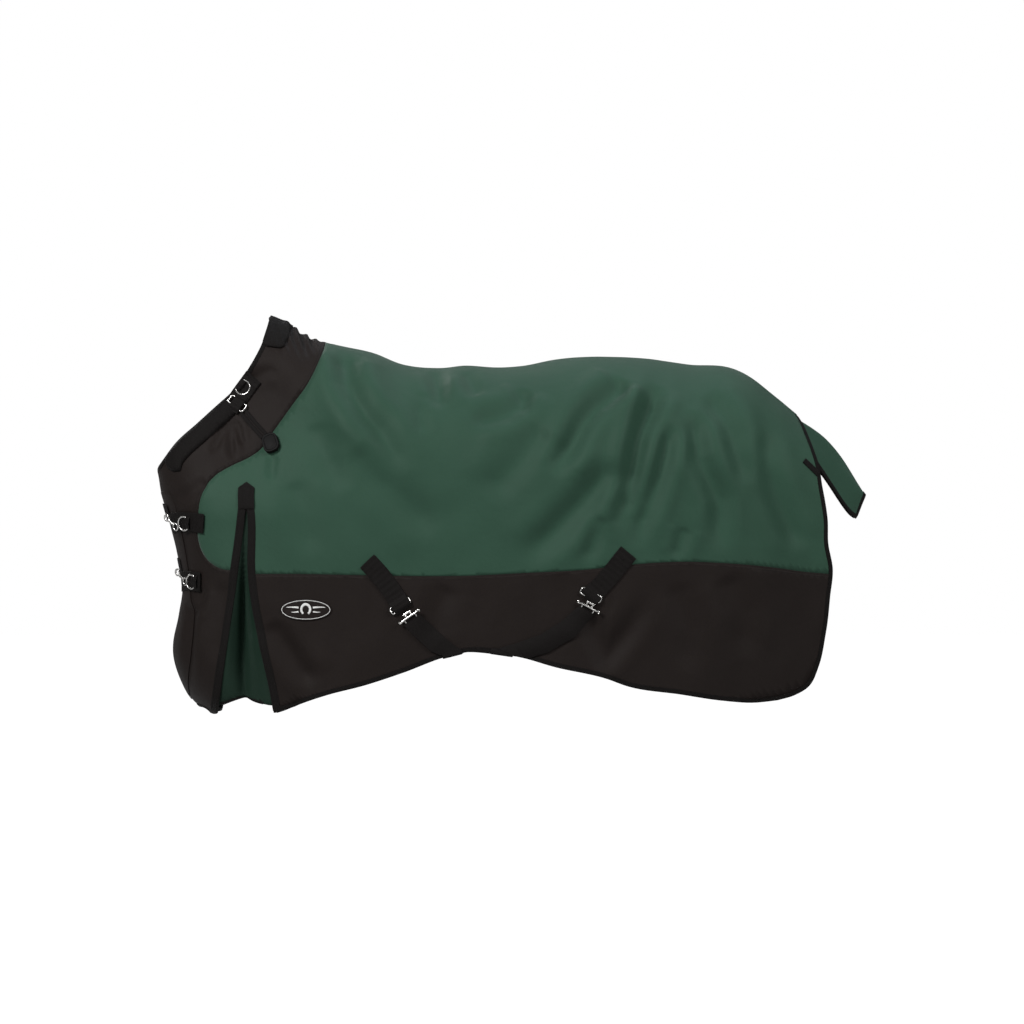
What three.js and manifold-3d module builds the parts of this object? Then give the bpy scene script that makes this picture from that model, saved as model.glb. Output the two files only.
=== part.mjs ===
// A waterproof turnout blanket for a horse, in the shape it has when it is worn, with the horse left out.
// Millimetres. +X runs from the head to the tail, -Y is the horse's near (left) side, +Z is up.
// The origin is under the top of the back, where the cloth lies on the horse.
import * as THREE from "three";
import { mergeVertices } from "three/addons/utils/BufferGeometryUtils.js";
import Module from "manifold-3d";

const wasm = await Module();
wasm.setup();

// ---------------------------------------------------------------- driving dimensions
const CLOTH = 3;            // shell, lining and seam allowance together
const GAP = 0.3;            // clearance between sewn pieces
const TAPE = 10;            // visible width of the edge binding
const TAPE_SWELL = 1.2;     // how far the binding stands out of the cloth on either face
const WEB = 2.4;            // thickness of the webbing
const WEB_WIDTH = 52;       // width of the belly webbing
const PATCH = 1.6;          // thickness of small sewn-on pieces
const REACH = 620;          // half-depth of the cutting prisms, past the widest point of the cloth
const SPARE = 24;           // how far the raw shell runs past its hem before it is cut
const ORIGIN_RISE = 6;    // lifts the model so that the inner face over the back is at z = 0

// The line of the back, from a point up the neck to one past the dock: [x, z].
const TOP_LINE = [
  [-1060, 400], [-820, 268], [-690, 192], [-588, 129], [-529, 104], [-489, 78], [-440, 62], [-387, 50],
  [-320, 35], [-237, 4], [-147, -4], [-78, 2], [0, -3], [68, 1], [161, 19], [252, 25], [393, 20], [512, 4],
  [600, -1], [652, -20], [736, -83], [785, -124], [840, -168], [920, -235]];
// The line of the breast, and over it the throat line that the neck opening is cut from: [z, x].
const BREAST_LINE = [
  [-960, -735], [-905, -752], [-870, -788], [-816, -818], [-760, -836], [-720, -837], [-650, -822],
  [-569, -812], [-502, -824], [-440, -838], [-376, -856], [-326, -871], [-285, -878], [-200, -902],
  [-60, -962], [140, -1040], [420, -1150]];
// The rear limit of the raw shell, a little past the rear edge: [z, x].
const REAR_LINE = [
  [-960, 800], [-865, 830], [-777, 858], [-688, 878], [-600, 890], [-520, 898], [-400, 884], [-300, 868],
  [-200, 842], [-120, 815], [60, 800], [420, 800]];
// The lowest line of the raw shell: [x, z].
const SKIRT_LINE = [
  [-1060, -930], [-760, -925], [-560, -915], [-433, -872], [-237, -812], [-127, -774], [-52, -758],
  [70, -776], [151, -797], [291, -828], [481, -868], [680, -890], [800, -880], [920, -840]];
// Half-width of the body at each station: [x, y].
const BODY_WIDTH = [
  [-1060, 190], [-880, 208], [-780, 226], [-640, 250], [-480, 272], [-300, 296], [-100, 314], [100, 326],
  [300, 330], [450, 322], [600, 300], [720, 262], [820, 222], [920, 186]];
const NECK_NARROWING = 128;  // how much slimmer the neck is than the body at the same station
// Depth over which the back rounds into the side at each station: [x, depth].
const BACK_ROUND = [
  [-1060, 120], [-700, 140], [-560, 175], [-420, 220], [-250, 262], [0, 290], [300, 300], [550, 285],
  [700, 240], [800, 190], [920, 150]];
const BREAST_ROUND = 175;    // depth over which the breast rounds into the shoulder
const SQUARENESS = 2.3;      // 2 is an ellipse, more is squarer

// Seams and edges of the near side, in the side view: [x, z].
const NECK_EDGE = [
  [-592, 146], [-587, 124], [-603, 60], [-623, 18], [-648, -23], [-684, -70], [-715, -98], [-773, -150],
  [-831, -203], [-866, -250], [-900, -296]];
const YOKE_SEAM = [
  [-438, 90], [-441, 62], [-450, 21], [-465, -12], [-486, -49], [-524, -102], [-574, -172], [-607, -218],
  [-640, -240], [-673, -256], [-719, -283], [-750, -317], [-764, -360], [-769, -410], [-769, -450],
  [-760, -480], [-738, -510], [-706, -527], [-660, -531]];
const SKIRT_SEAM = [
  [-640, -540], [-498, -540], [-340, -543], [-190, -545], [-69, -544], [94, -536], [226, -529], [354, -515],
  [481, -508], [610, -513], [726, -524], [796, -534], [900, -544]];
const HEM = [
  [-552, -898], [-502, -874], [-433, -851], [-337, -826], [-237, -793], [-127, -752], [-81, -741],
  [-52, -738], [0, -742], [70, -754], [151, -777], [291, -809], [337, -826], [481, -849], [585, -865],
  [680, -871], [730, -865]];
const REAR_EDGE = [
  [730, -865], [774, -852], [810, -830], [837, -777], [856, -688], [866, -601], [873, -530], [861, -462],
  [859, -397], [854, -360], [845, -310], [837, -260], [824, -220], [812, -186], [800, -154], [786, -128]];
const FRONT_HEM = [
  [-900, -905], [-840, -893], [-797, -880], [-772, -884], [-748, -893], [-734, -904]];
const SLIT_HEAD = -342;      // top of the tape round each slit
const SLIT_FRONT = [[-642, -352], [-646, -390], [-665, -539], [-722, -912]];
const SLIT_REAR = [[-642, -352], [-638, -390], [-637, -538], [-577, -863], [-566, -925]];
const SLIT_TAPE = 19;
const GUSSET_HEM = [[-740, -902], [-711, -884], [-679, -875], [-637, -872], [-601, -876], [-560, -900]];
const GUSSET_DEPTH = 38;     // how far the pleat falls back behind the slit

// Creases of the near side: route [x, z], how deep and how wide each trough is.
const CREASES = [
  { route: [[-378, 30], [-384, -36], [-366, -77], [-335, -124], [-301, -161], [-256, -236], [-226, -281]],
    deep: 15, wide: 34 },
  { route: [[-156, -20], [-147, -62], [-147, -116]], deep: 7, wide: 26 },
  { route: [[72, -60], [62, -107], [32, -128], [-27, -140], [-62, -151]], deep: 8, wide: 28 },
  { route: [[331, -42], [261, -101], [226, -146], [197, -201], [152, -290]], deep: 14, wide: 32 },
  { route: [[137, -166], [57, -255], [-22, -345]], deep: 9, wide: 48 },
  { route: [[321, -251], [201, -380], [132, -450], [62, -510]], deep: 12, wide: 42 },
  { route: [[422, -58], [396, -118], [373, -192], [359, -267], [331, -378], [317, -452]], deep: 18, wide: 32 },
  { route: [[447, -160], [438, -220], [420, -281], [401, -341], [364, -471]], deep: 14, wide: 30 },
  { route: [[524, -132], [519, -183], [526, -239], [554, -295], [577, -350], [582, -489]], deep: 11, wide: 34 },
  { route: [[550, -76], [587, -127], [615, -183], [638, -257], [656, -313]], deep: 9, wide: 34 },
  { route: [[694, -183], [703, -257], [731, -350], [768, -434], [791, -480]], deep: 9, wide: 34 },
  { route: [[-361, -211], [-306, -290], [-216, -375]], deep: 7, wide: 44 },
  { route: [[246, -645], [286, -754]], deep: 8, wide: 34 },
  { route: [[-584, -663], [-542, -725], [-502, -783]], deep: 7, wide: 32 },
];
const RIDGE = 0.4;           // height of the ridges beside a trough, as a share of its depth

// Grid of the raw shell, in cells.
const CELLS_BREAST = 5;
const CELLS_ALONG = 25;
const CELLS_BACK = 6;
const CELLS_SIDE = 9;

// ---------------------------------------------------------------- materials
const GREEN = new THREE.MeshStandardMaterial({ color: 0x2b4a3a, roughness: 0.62, metalness: 0 });
const BLACK = new THREE.MeshStandardMaterial({ color: 0x221d1e, roughness: 0.66, metalness: 0 });
const TRIM = new THREE.MeshStandardMaterial({ color: 0x131212, roughness: 0.75, metalness: 0 });
const STEEL = new THREE.MeshStandardMaterial({ color: 0xc8c8ca, roughness: 0.25, metalness: 1 });
const RESIN = new THREE.MeshStandardMaterial({ color: 0x101011, roughness: 0.4, metalness: 0 });
const INK = new THREE.MeshStandardMaterial({ color: 0x1d2024, roughness: 0.55, metalness: 0 });

// ---------------------------------------------------------------- smooth lines through stations
function smooth(stations) {
  const last = stations.length - 1;
  const chord = (i) => (stations[i + 1][1] - stations[i][1]) / (stations[i + 1][0] - stations[i][0]);
  const slope = (i) => (i === 0 ? chord(0) : i === last ? chord(last - 1) : (chord(i - 1) + chord(i)) / 2);
  return (at) => {
    const t = Math.min(Math.max(at, stations[0][0]), stations[last][0]);
    let i = 0;
    while (i < last - 1 && t > stations[i + 1][0]) i += 1;
    const span = stations[i + 1][0] - stations[i][0];
    const s = (t - stations[i][0]) / span;
    const rise = s * s * (3 - 2 * s);
    const lead = s * (1 - s) * (1 - s) * span * slope(i);
    const trail = s * s * (1 - s) * span * slope(i + 1);
    return stations[i][1] * (1 - rise) + stations[i + 1][1] * rise + lead - trail;
  };
}

const ease = (s) => {
  const t = Math.min(Math.max(s, 0), 1);
  return t * t * (3 - 2 * t);
};

const topAt = smooth(TOP_LINE);
const breastAt = smooth(BREAST_LINE);
const rearAt = smooth(REAR_LINE);
const skirtAt = smooth(SKIRT_LINE);
const bodyAt = smooth(BODY_WIDTH);
const roundAt = smooth(BACK_ROUND);

// ---------------------------------------------------------------- the worn surface
// How far a trough or ridge moves the cloth in (+) or out (-) at a point of the side view.
function creaseAt(x, z) {
  let sum = 0;
  for (const { route, deep, wide } of CREASES) {
    let best = Infinity;
    let along = 0;
    route.slice(1).forEach(([bx, bz], i) => {
      const [ax, az] = route[i];
      const len2 = (bx - ax) ** 2 + (bz - az) ** 2;
      const s = Math.min(Math.max(((x - ax) * (bx - ax) + (z - az) * (bz - az)) / len2, 0), 1);
      const off = Math.hypot(x - ax - s * (bx - ax), z - az - s * (bz - az));
      if (off < best) {
        best = off;
        along = (i + s) / (route.length - 1);
      }
    });
    const fade = ease(along / 0.18 + 0.25) * ease((1 - along) / 0.3 + 0.15);
    const trough = Math.exp(-((best / wide) ** 2));
    const ridge = Math.exp(-(((best - 1.9 * wide) / wide) ** 2));
    sum += deep * fade * (trough - RIDGE * ridge);
  }
  return sum;
}

// Half-width of the cloth where the back and the breast no longer round it off.
function widthAt(x, z) {
  const neck = ease((z + 400) / 360) * ease((-300 - x) / 360);
  const below = Math.max(0, -470 - z);
  const lean = 0.05 * below * ease((x - 350) / 400) + 0.02 * below;
  return bodyAt(x) - NECK_NARROWING * neck - lean;
}

// A point of the cloth's outer face. `drop` runs from 0 on the back to 1 where the side hangs straight and
// 2 at the skirt. `run` does the same from the breast: 0 to 1 round the breast, 1 to 2 along the body.
function clothPoint(run, drop, side) {
  const turn = Math.min(run, 1) * Math.PI / 2;
  const fall = Math.min(drop, 1) * Math.PI / 2;
  const power = 2 / SQUARENESS;
  const breast = run < 1 ? Math.sin(turn) ** power : 1;
  const back = drop < 1 ? Math.sin(fall) : 1;
  let x = -300;
  let z = 0;
  for (let pass = 0; pass < 14; pass += 1) {
    const round = roundAt(x);
    const top = topAt(x);
    const deep = drop < 1
      ? round * (1 - Math.cos(fall))
      : round + (drop - 1) * (top - round - skirtAt(x) + SPARE);
    z = top - deep;
    const start = breastAt(z);
    x = run < 1
      ? start + BREAST_ROUND * (1 - Math.cos(turn) ** power)
      : start + BREAST_ROUND + (run - 1) * (rearAt(z) - start - BREAST_ROUND);
  }
  const full = back * breast;
  const crease = creaseAt(x, z) * ease(full * 1.6);
  const half = drop === 0 ? 0 : Math.max(GAP, widthAt(x, z) * full - crease);
  return new THREE.Vector3(x, side * half, z);
}

// The whole outer face as a grid: columns from the breast to the rear, rows from the near skirt over the
// back to the off skirt.
const RUNS = [];
for (let i = 0; i <= CELLS_BREAST; i += 1) RUNS.push(i / CELLS_BREAST);
for (let i = 1; i <= CELLS_ALONG; i += 1) RUNS.push(1 + i / CELLS_ALONG);
const DROPS = [];
for (let j = CELLS_SIDE; j > 0; j -= 1) DROPS.push([1 + j / CELLS_SIDE, -1]);
for (let j = CELLS_BACK; j > 0; j -= 1) DROPS.push([j / CELLS_BACK, -1]);
DROPS.push([0, 1]);
for (let j = 1; j <= CELLS_BACK; j += 1) DROPS.push([j / CELLS_BACK, 1]);
for (let j = 1; j <= CELLS_SIDE; j += 1) DROPS.push([1 + j / CELLS_SIDE, 1]);

const FACE = RUNS.map((run) => DROPS.map(([drop, side]) => clothPoint(run, drop, side)));
const NORMALS = FACE.map((column, i) => column.map((_, j) => {
  const before = FACE[Math.max(i - 1, 0)][j];
  const after = FACE[Math.min(i + 1, FACE.length - 1)][j];
  const under = FACE[i][Math.max(j - 1, 0)];
  const over = FACE[i][Math.min(j + 1, column.length - 1)];
  const along = after.clone().sub(before);
  const up = over.clone().sub(under);
  const normal = along.cross(up);
  if (i === 0 || DROPS[j][0] === 0) normal.y = 0;
  return normal.normalize();
}));

// ---------------------------------------------------------------- solids
function toSolid(geometry) {
  const bare = geometry.clone();
  bare.deleteAttribute("normal");
  bare.deleteAttribute("uv");
  const merged = mergeVertices(bare, 1e-4);
  return new wasm.Manifold(new wasm.Mesh({
    numProp: 3,
    vertProperties: Float32Array.from(merged.attributes.position.array),
    triVerts: Uint32Array.from(merged.index.array),
  }));
}

function toGeometry(solid) {
  const mesh = solid.getMesh();
  const geometry = new THREE.BufferGeometry();
  geometry.setAttribute("position", new THREE.BufferAttribute(Float32Array.from(mesh.vertProperties), 3));
  geometry.setIndex(new THREE.BufferAttribute(Uint32Array.from(mesh.triVerts), 1));
  geometry.computeVertexNormals();
  return geometry;
}

// A closed sheet between two grids of points that match; `outer` is the face that looks out.
function closedSheet(outer, inner) {
  const wide = outer.length;
  const high = outer[0].length;
  const points = [...outer.flat(), ...inner.flat()];
  const at = (face, i, j) => face * wide * high + i * high + j;
  const triangles = [];
  const quad = (a, b, c, d) => triangles.push(a, b, c, a, c, d);
  for (let i = 0; i < wide - 1; i += 1) {
    for (let j = 0; j < high - 1; j += 1) {
      quad(at(0, i, j), at(0, i + 1, j), at(0, i + 1, j + 1), at(0, i, j + 1));
      quad(at(1, i, j), at(1, i, j + 1), at(1, i + 1, j + 1), at(1, i + 1, j));
    }
  }
  for (let i = 0; i < wide - 1; i += 1) {
    quad(at(1, i, 0), at(1, i + 1, 0), at(0, i + 1, 0), at(0, i, 0));
    quad(at(0, i, high - 1), at(0, i + 1, high - 1), at(1, i + 1, high - 1), at(1, i, high - 1));
  }
  for (let j = 0; j < high - 1; j += 1) {
    quad(at(0, 0, j), at(0, 0, j + 1), at(1, 0, j + 1), at(1, 0, j));
    quad(at(1, wide - 1, j), at(1, wide - 1, j + 1), at(0, wide - 1, j + 1), at(0, wide - 1, j));
  }
  const geometry = new THREE.BufferGeometry();
  geometry.setAttribute("position", new THREE.Float32BufferAttribute(points.flatMap((p) => [p.x, p.y, p.z]), 3));
  geometry.setIndex(triangles);
  return geometry;
}

// The cloth between two depths, measured out from the outer face (so the cloth itself is -CLOTH to 0).
// `sink` says how much deeper a point of the side view lies.
function layer(low, high, sink = () => 0) {
  const shifted = (by) => FACE.map((column, i) => column.map((p, j) => {
    const moved = p.clone().addScaledVector(NORMALS[i][j], by - sink(p.x, p.z));
    if (DROPS[j][0] > 0) moved.y = DROPS[j][1] * Math.max(GAP, DROPS[j][1] * moved.y);
    return moved;
  }));
  return toSolid(closedSheet(shifted(high), shifted(low)));
}

// A prism across the blanket whose outline is given in the side view. near, off or both sides.
function prism(outline, side = "both") {
  const corners = outline.filter(([x, z], i) => {
    const [ax, az] = outline.at(i - 1);
    const [bx, bz] = outline[(i + 1) % outline.length];
    return Math.abs((x - ax) * (bz - z) - (z - az) * (bx - x)) > 1e-3;
  });
  const shape = new THREE.Shape(corners.map(([x, z]) => new THREE.Vector2(x, z)));
  const depth = side === "both" ? 2 * REACH : REACH;
  const geometry = new THREE.ExtrudeGeometry(shape, { depth, bevelEnabled: false });
  geometry.rotateX(Math.PI / 2);
  geometry.translate(0, side === "near" ? -GAP / 2 : side === "off" ? REACH + GAP / 2 : REACH, 0);
  return toSolid(geometry);
}

// The line moved sideways by `by`, to the left of its direction.
function beside(line, by) {
  return line.map(([x, z], i) => {
    const [ax, az] = line[Math.max(i - 1, 0)];
    const [bx, bz] = line[Math.min(i + 1, line.length - 1)];
    const len = Math.hypot(bx - ax, bz - az);
    return [x - by * (bz - az) / len, z + by * (bx - ax) / len];
  });
}

const strip = (line, from, to) => [...beside(line, from), ...beside(line, to).reverse()];
const box = (x0, x1, z0, z1) => [[x0, z0], [x1, z0], [x1, z1], [x0, z1]];

function cut(solid, ...knives) {
  return knives.reduce((left, knife) => left.subtract(knife), solid);
}

const all = (...solids) => wasm.Manifold.union(solids);
const SIDES = ["near", "off"];
const OVER_CLOTH = [GAP, GAP + PATCH];                                  // a patch sewn on the cloth
const OVER_TAPE = [TAPE_SWELL + GAP, TAPE_SWELL + GAP + WEB];           // webbing that crosses a bound edge
const blanket = new THREE.Group();
blanket.position.z = ORIGIN_RISE;

function add(name, geometry, material, group = blanket) {
  const mesh = new THREE.Mesh(geometry, material);
  mesh.name = name;
  group.add(mesh);
  return mesh;
}

const addSolid = (name, solid, material) => add(name, toGeometry(solid), material);

// ---------------------------------------------------------------- outline of the whole blanket
const EDGE = [...HEM, ...REAR_EDGE.slice(1)];
const FAR = 980;
const bodyOutline = [
  ...NECK_EDGE, [-FAR, -330], [-FAR, -905], ...FRONT_HEM, ...GUSSET_HEM.slice(1, -1), ...EDGE, [800, 300],
  [-592, 300]];
const aboveSeam = [...YOKE_SEAM.slice().reverse(), [-438, 300], [FAR, 300], [FAR, -544],
  ...SKIRT_SEAM.slice().reverse()];
const beforeSeam = [[-438, 300], ...YOKE_SEAM, ...SLIT_FRONT.slice(2), [-722, -FAR], [-FAR, -FAR], [-FAR, 300]];
const belowSeam = [[-566, -FAR], ...SLIT_REAR.slice(3).reverse(), ...SKIRT_SEAM, [FAR, -544], [FAR, -FAR]];
const slit = [...SLIT_FRONT, ...SLIT_REAR.slice(1).reverse()];

const cloth = layer(-CLOTH, 0);
const body = prism(bodyOutline);
const seams = [prism(strip(YOKE_SEAM, -GAP / 2, GAP / 2)), prism(strip(SKIRT_SEAM, -GAP / 2, GAP / 2))];
const frontTape = strip(SLIT_FRONT, -SLIT_TAPE, 0);
const rearTape = strip(SLIT_REAR, 0, SLIT_TAPE);
const slitRoom = [
  prism(slit), prism(strip(SLIT_FRONT, -SLIT_TAPE - GAP, 1)), prism(strip(SLIT_REAR, -1, SLIT_TAPE + GAP)),
  prism(box(-642 - SLIT_TAPE - GAP, -642 + SLIT_TAPE + GAP, -360, SLIT_HEAD + GAP))];
const edgeRoom = [
  prism(strip(EDGE, -40, TAPE + GAP)), prism(strip(NECK_EDGE, -40, TAPE + GAP)),
  prism(strip(FRONT_HEM, -60, TAPE + GAP))];

// ---------------------------------------------------------------- cloth panels
const clothPiece = (outline, side) => cut(
  cloth.intersect(body).intersect(prism(outline, side)), ...seams, ...slitRoom, ...edgeRoom);
addSolid("upper_shell", clothPiece(aboveSeam, "both"), GREEN);
addSolid("neck_chest_panel", clothPiece(beforeSeam, "both"), BLACK);
for (const side of SIDES) addSolid(`lower_panel_${side}`, clothPiece(belowSeam, side), BLACK);

// ---------------------------------------------------------------- reading the outer face
// The outer face again as a mesh, to find where a ray from the side meets it.
const faceMesh = new THREE.Mesh(closedSheet(FACE, FACE.map((column, i) => column.map(
  (p, j) => p.clone().addScaledVector(NORMALS[i][j], -CLOTH)))), new THREE.MeshBasicMaterial({ side: 2 }));
function halfAt(x, z, missed = 0) {
  const ray = new THREE.Raycaster(new THREE.Vector3(x, -2 * REACH, z), new THREE.Vector3(0, 1, 0));
  const hits = ray.intersectObject(faceMesh);
  return hits.length ? -hits[0].point.y : missed;
}
function outward(x, z) {
  const step = 7;
  const along = new THREE.Vector3(2 * step, halfAt(x - step, z) - halfAt(x + step, z), 0);
  const up = new THREE.Vector3(0, halfAt(x, z - step) - halfAt(x, z + step), 2 * step);
  return along.cross(up).normalize();
}

// ---------------------------------------------------------------- shoulder gussets
const between = (line, z) => {
  const i = Math.max(1, line.findIndex((p) => p[1] < z));
  const [ax, az] = line[i - 1];
  const [bx, bz] = line[i];
  return ax + (bx - ax) * (z - az) / (bz - az);
};
const pleat = (x, z) => {
  const front = between(SLIT_FRONT, Math.max(z, -905));
  const rear = between(SLIT_REAR, Math.max(z, -905));
  const across = Math.min(Math.max((x - front) / (rear - front), 0), 1);
  return GUSSET_DEPTH * Math.sin(Math.PI * across) * ease((-420 - z) / 260);
};
const behindTape = -CLOTH - TAPE_SWELL - 2 * GAP;
const insertSheet = layer(behindTape - CLOTH, behindTape, pleat);
const insertTape = layer(behindTape - CLOTH - TAPE_SWELL, behindTape + TAPE_SWELL, (x, z) => pleat(x, z) + TAPE_SWELL);
const TUCK = 13;             // how far the insert runs behind the slit's tapes
const insertBody = (side) => prism(
  [...beside(SLIT_FRONT, -TUCK).slice(0, 3), [-735, -890], ...GUSSET_HEM.slice(1, -1), [-566, -890],
    ...beside(SLIT_REAR, TUCK).slice(0, 3).reverse()], side);
const tapeSolid = layer(-CLOTH - TAPE_SWELL, TAPE_SWELL);
const capOutline = [[-642, -304], [-620, -318], [-621, -341], [-661, -341], [-662, -318]];
for (const side of SIDES) {
  const hemRoom = prism(strip(GUSSET_HEM, -40, TAPE + GAP), side);
  addSolid(`gusset_insert_${side}`, cut(insertSheet.intersect(insertBody(side)), hemRoom), GREEN);
  addSolid(`gusset_hem_${side}`, insertTape.intersect(prism(strip(GUSSET_HEM, 0, TAPE), side)), TRIM);
  const tapes = all(prism(frontTape, side), prism(rearTape, side), prism(box(-642 - SLIT_TAPE, -642 + SLIT_TAPE, -360, SLIT_HEAD), side));
  addSolid(`gusset_binding_${side}`, cut(tapeSolid.intersect(tapes), prism(slit)).intersect(body), TRIM);
  addSolid(`gusset_cap_${side}`, layer(...OVER_CLOTH).intersect(prism(capOutline, side)), TRIM);
}

// ---------------------------------------------------------------- bound edges
const REAR_TAPE_START = 6;   // the hem's tape ends at this point of the rear edge, and the rear tape follows
const [rearFrom, rearNext] = REAR_EDGE.slice(REAR_TAPE_START);
const rearLine = [rearFrom.map((v, k) => v + 0.06 * (rearNext[k] - v)), ...REAR_EDGE.slice(REAR_TAPE_START + 1)];
for (const side of SIDES) {
  const bound = (line, ...knives) => cut(tapeSolid.intersect(prism(strip(line, 0, TAPE), side)), ...knives);
  const slitTapes = [prism(strip(SLIT_FRONT, -SLIT_TAPE - GAP, 0)), prism(strip(SLIT_REAR, 0, SLIT_TAPE + GAP))];
  addSolid(`rear_binding_${side}`, bound(rearLine), TRIM);
  addSolid(`front_hem_binding_${side}`, bound(FRONT_HEM, ...slitTapes), TRIM);
  addSolid(`neck_binding_${side}`, bound(NECK_EDGE), TRIM);
}

// ---------------------------------------------------------------- collar
const crestOutline = [
  [-588, 170], [-588, 128], [-605, 58], [-590, 48], [-550, 47], [-540, 66], [-528, 104], [-524, 170]];
const crestHeight = [TAPE_SWELL + GAP, TAPE_SWELL + GAP + 3.5];
addSolid("crest_band", layer(...crestHeight).intersect(prism(crestOutline)), TRIM);

const PAD_LINE = [[-697, -80], [-715, -98], [-773, -150], [-831, -203], [-850, -226]];
const PAD_WIDTH = 50;
const padEnd = [[-850, -226], [-856, -246], [-848, -266], [-832, -276], [-814, -274]];
const padOutline = [...beside(PAD_LINE, 1).slice(0, -1), ...padEnd, ...beside(PAD_LINE, PAD_WIDTH).slice(0, 4).reverse()];
for (const side of SIDES) {
  const pad = layer(TAPE_SWELL + GAP, TAPE_SWELL + GAP + 5).intersect(prism(padOutline, side));
  addSolid(`neck_pad_${side}`, pad, TRIM);
}

const neckTab = [[-655, -20], [-603, -44], [-630, -90], [-694, -74]];
addSolid("neck_tab", layer(...OVER_TAPE).intersect(prism(neckTab, "near")), TRIM);
const NECK_PULL = [[-650, -124], [-628, -150], [-604, -176]];
addSolid("neck_strap", layer(...OVER_TAPE).intersect(prism(strip(NECK_PULL, -11, 11), "near")), TRIM);

// ---------------------------------------------------------------- front fastening
const overlapOutline = [
  [-FAR, -300], [-832, -330], [-820, -400], [-806, -470], [-790, -560], [-781, -655], [-795, -743],
  [-798, -812], [-790, -868], [-FAR, -868]];
addSolid("front_overlap", layer(GAP, GAP + 2).intersect(prism(overlapOutline, "near")), BLACK);
const overFront = [2 + 2 * GAP, 2 + 2 * GAP + WEB];
const BREAST_STRAPS = [
  { tab: [[-838, -437], [-751, -437], [-751, -384], [-840, -384]], strap: [-428, -388], end: -700 },
  { tab: [[-812, -590], [-758, -590], [-758, -536], [-812, -536]], strap: [-566, -526], end: -690 }];
BREAST_STRAPS.forEach(({ tab, strap, end }, i) => {
  addSolid(`chest_tab_${i + 1}`, layer(...overFront).intersect(prism(tab, "near")), TRIM);
  const wrap = prism(box(-FAR, end, strap[0], strap[1]), "off");
  addSolid(`chest_strap_${i + 1}`, layer(...overFront).intersect(wrap), TRIM);
});

// ---------------------------------------------------------------- belly webbing sewn to the skirts
const bellyTabs = {
  front: [[-309, -490], [-348, -523], [-264, -637], [-222, -605]],
  rear: [[328, -472], [360, -497], [268, -609], [226, -577]] };
for (const [end, outline] of Object.entries(bellyTabs)) {
  addSolid(`belly_tab_${end}`, layer(...OVER_CLOTH.map((v) => v + 0.2)).intersect(prism(outline, "near")), TRIM);
}
const FAR_RUNS = {
  front: [[-330, -505], [-240, -622], [-160, -690], [-112, -726]],
  rear: [[343, -484], [247, -600], [150, -672], [52, -720]] };
for (const [end, line] of Object.entries(FAR_RUNS)) {
  const sewn = prism(strip(line, -WEB_WIDTH / 2, WEB_WIDTH / 2), "off");
  addSolid(`belly_patch_${end}`, layer(...OVER_TAPE).intersect(sewn).intersect(body), TRIM);
}

// ---------------------------------------------------------------- small sewn pieces
const oval = Array.from({ length: 28 }, (_, i) => {
  const turn = 2 * Math.PI * i / 28;
  return [-487 + 67 * Math.cos(turn), -632 + 28 * Math.sin(turn)];
});
addSolid("maker_patch", layer(...OVER_CLOTH).intersect(prism(oval, "near")), INK);
const DART = [[797, -248], [835, -283]];
for (const side of SIDES) {
  addSolid(`rear_dart_${side}`, layer(...OVER_TAPE).intersect(prism(strip(DART, -8, 8), side)), TRIM);
}

// The hem's tape hangs nearly plumb, so it is a strip of its own with its swell straight across.
const hemLine = [...HEM, ...REAR_EDGE.slice(1, REAR_TAPE_START + 1)];
for (const side of [-1, 1]) {
  const rows = [beside(hemLine, 0), beside(hemLine, TAPE)];
  const face = (by) => hemLine.map((_, i) => rows.map((row) => {
    const [x, z] = row[i];
    return new THREE.Vector3(x, side * (halfAt(x, z) + by), z);
  }));
  const [high, low] = [face(TAPE_SWELL), face(-CLOTH - TAPE_SWELL)];
  const tape = toSolid(side < 0 ? closedSheet(high, low) : closedSheet(low, high));
  const clear = prism(strip(SLIT_REAR, -9, SLIT_TAPE + GAP));
  addSolid(`hem_binding_${side < 0 ? "near" : "off"}`, cut(tape, clear), TRIM);
}

// ---------------------------------------------------------------- tail flap
const FLAP_MIDDLE = [[760, -108], [786, -133], [827, -163], [864, -196], [904, -243], [946, -305], [967, -332]];
const FLAP_SIDE = [[770, -176], [800, -216], [830, -252], [864, -298], [904, -357], [926, -384], [941, -396]];
const FLAP_HALF = [92, 100, 108, 110, 104, 88, 60];
const FLAP_CELLS = 8;
function flapPoint(u, v) {
  const at = u * (FLAP_MIDDLE.length - 1);
  const i = Math.min(Math.max(Math.floor(at), 0), FLAP_MIDDLE.length - 2);
  const mix = (a, b) => a + (b - a) * (at - i);
  const middle = [0, 1].map((k) => mix(FLAP_MIDDLE[i][k], FLAP_MIDDLE[i + 1][k]));
  const side = [0, 1].map((k) => mix(FLAP_SIDE[i][k], FLAP_SIDE[i + 1][k]));
  const bend = Math.abs(v) ** 1.9;
  return new THREE.Vector3(
    middle[0] + (side[0] - middle[0]) * bend, v * mix(FLAP_HALF[i], FLAP_HALF[i + 1]),
    middle[1] + (side[1] - middle[1]) * bend);
}
function flapSheet(uEnd, vEnd, low, high, uStart = 0) {
  const grid = (by) => Array.from({ length: FLAP_CELLS + 1 }, (_, i) => {
    const u = uStart + (uEnd - uStart) * i / FLAP_CELLS;
    return Array.from({ length: FLAP_CELLS + 1 }, (__, j) => {
      const v = vEnd * (2 * j / FLAP_CELLS - 1);
      const along = flapPoint(u + 0.01, v).sub(flapPoint(u - 0.01, v));
      const across = flapPoint(u, v + 0.01).sub(flapPoint(u, v - 0.01));
      return flapPoint(u, v).addScaledVector(along.cross(across).normalize(), by);
    });
  });
  return toSolid(closedSheet(grid(high), grid(low)));
}
addSolid("tail_flap", flapSheet(0.95, 0.9, -CLOTH, 0), GREEN);
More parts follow.
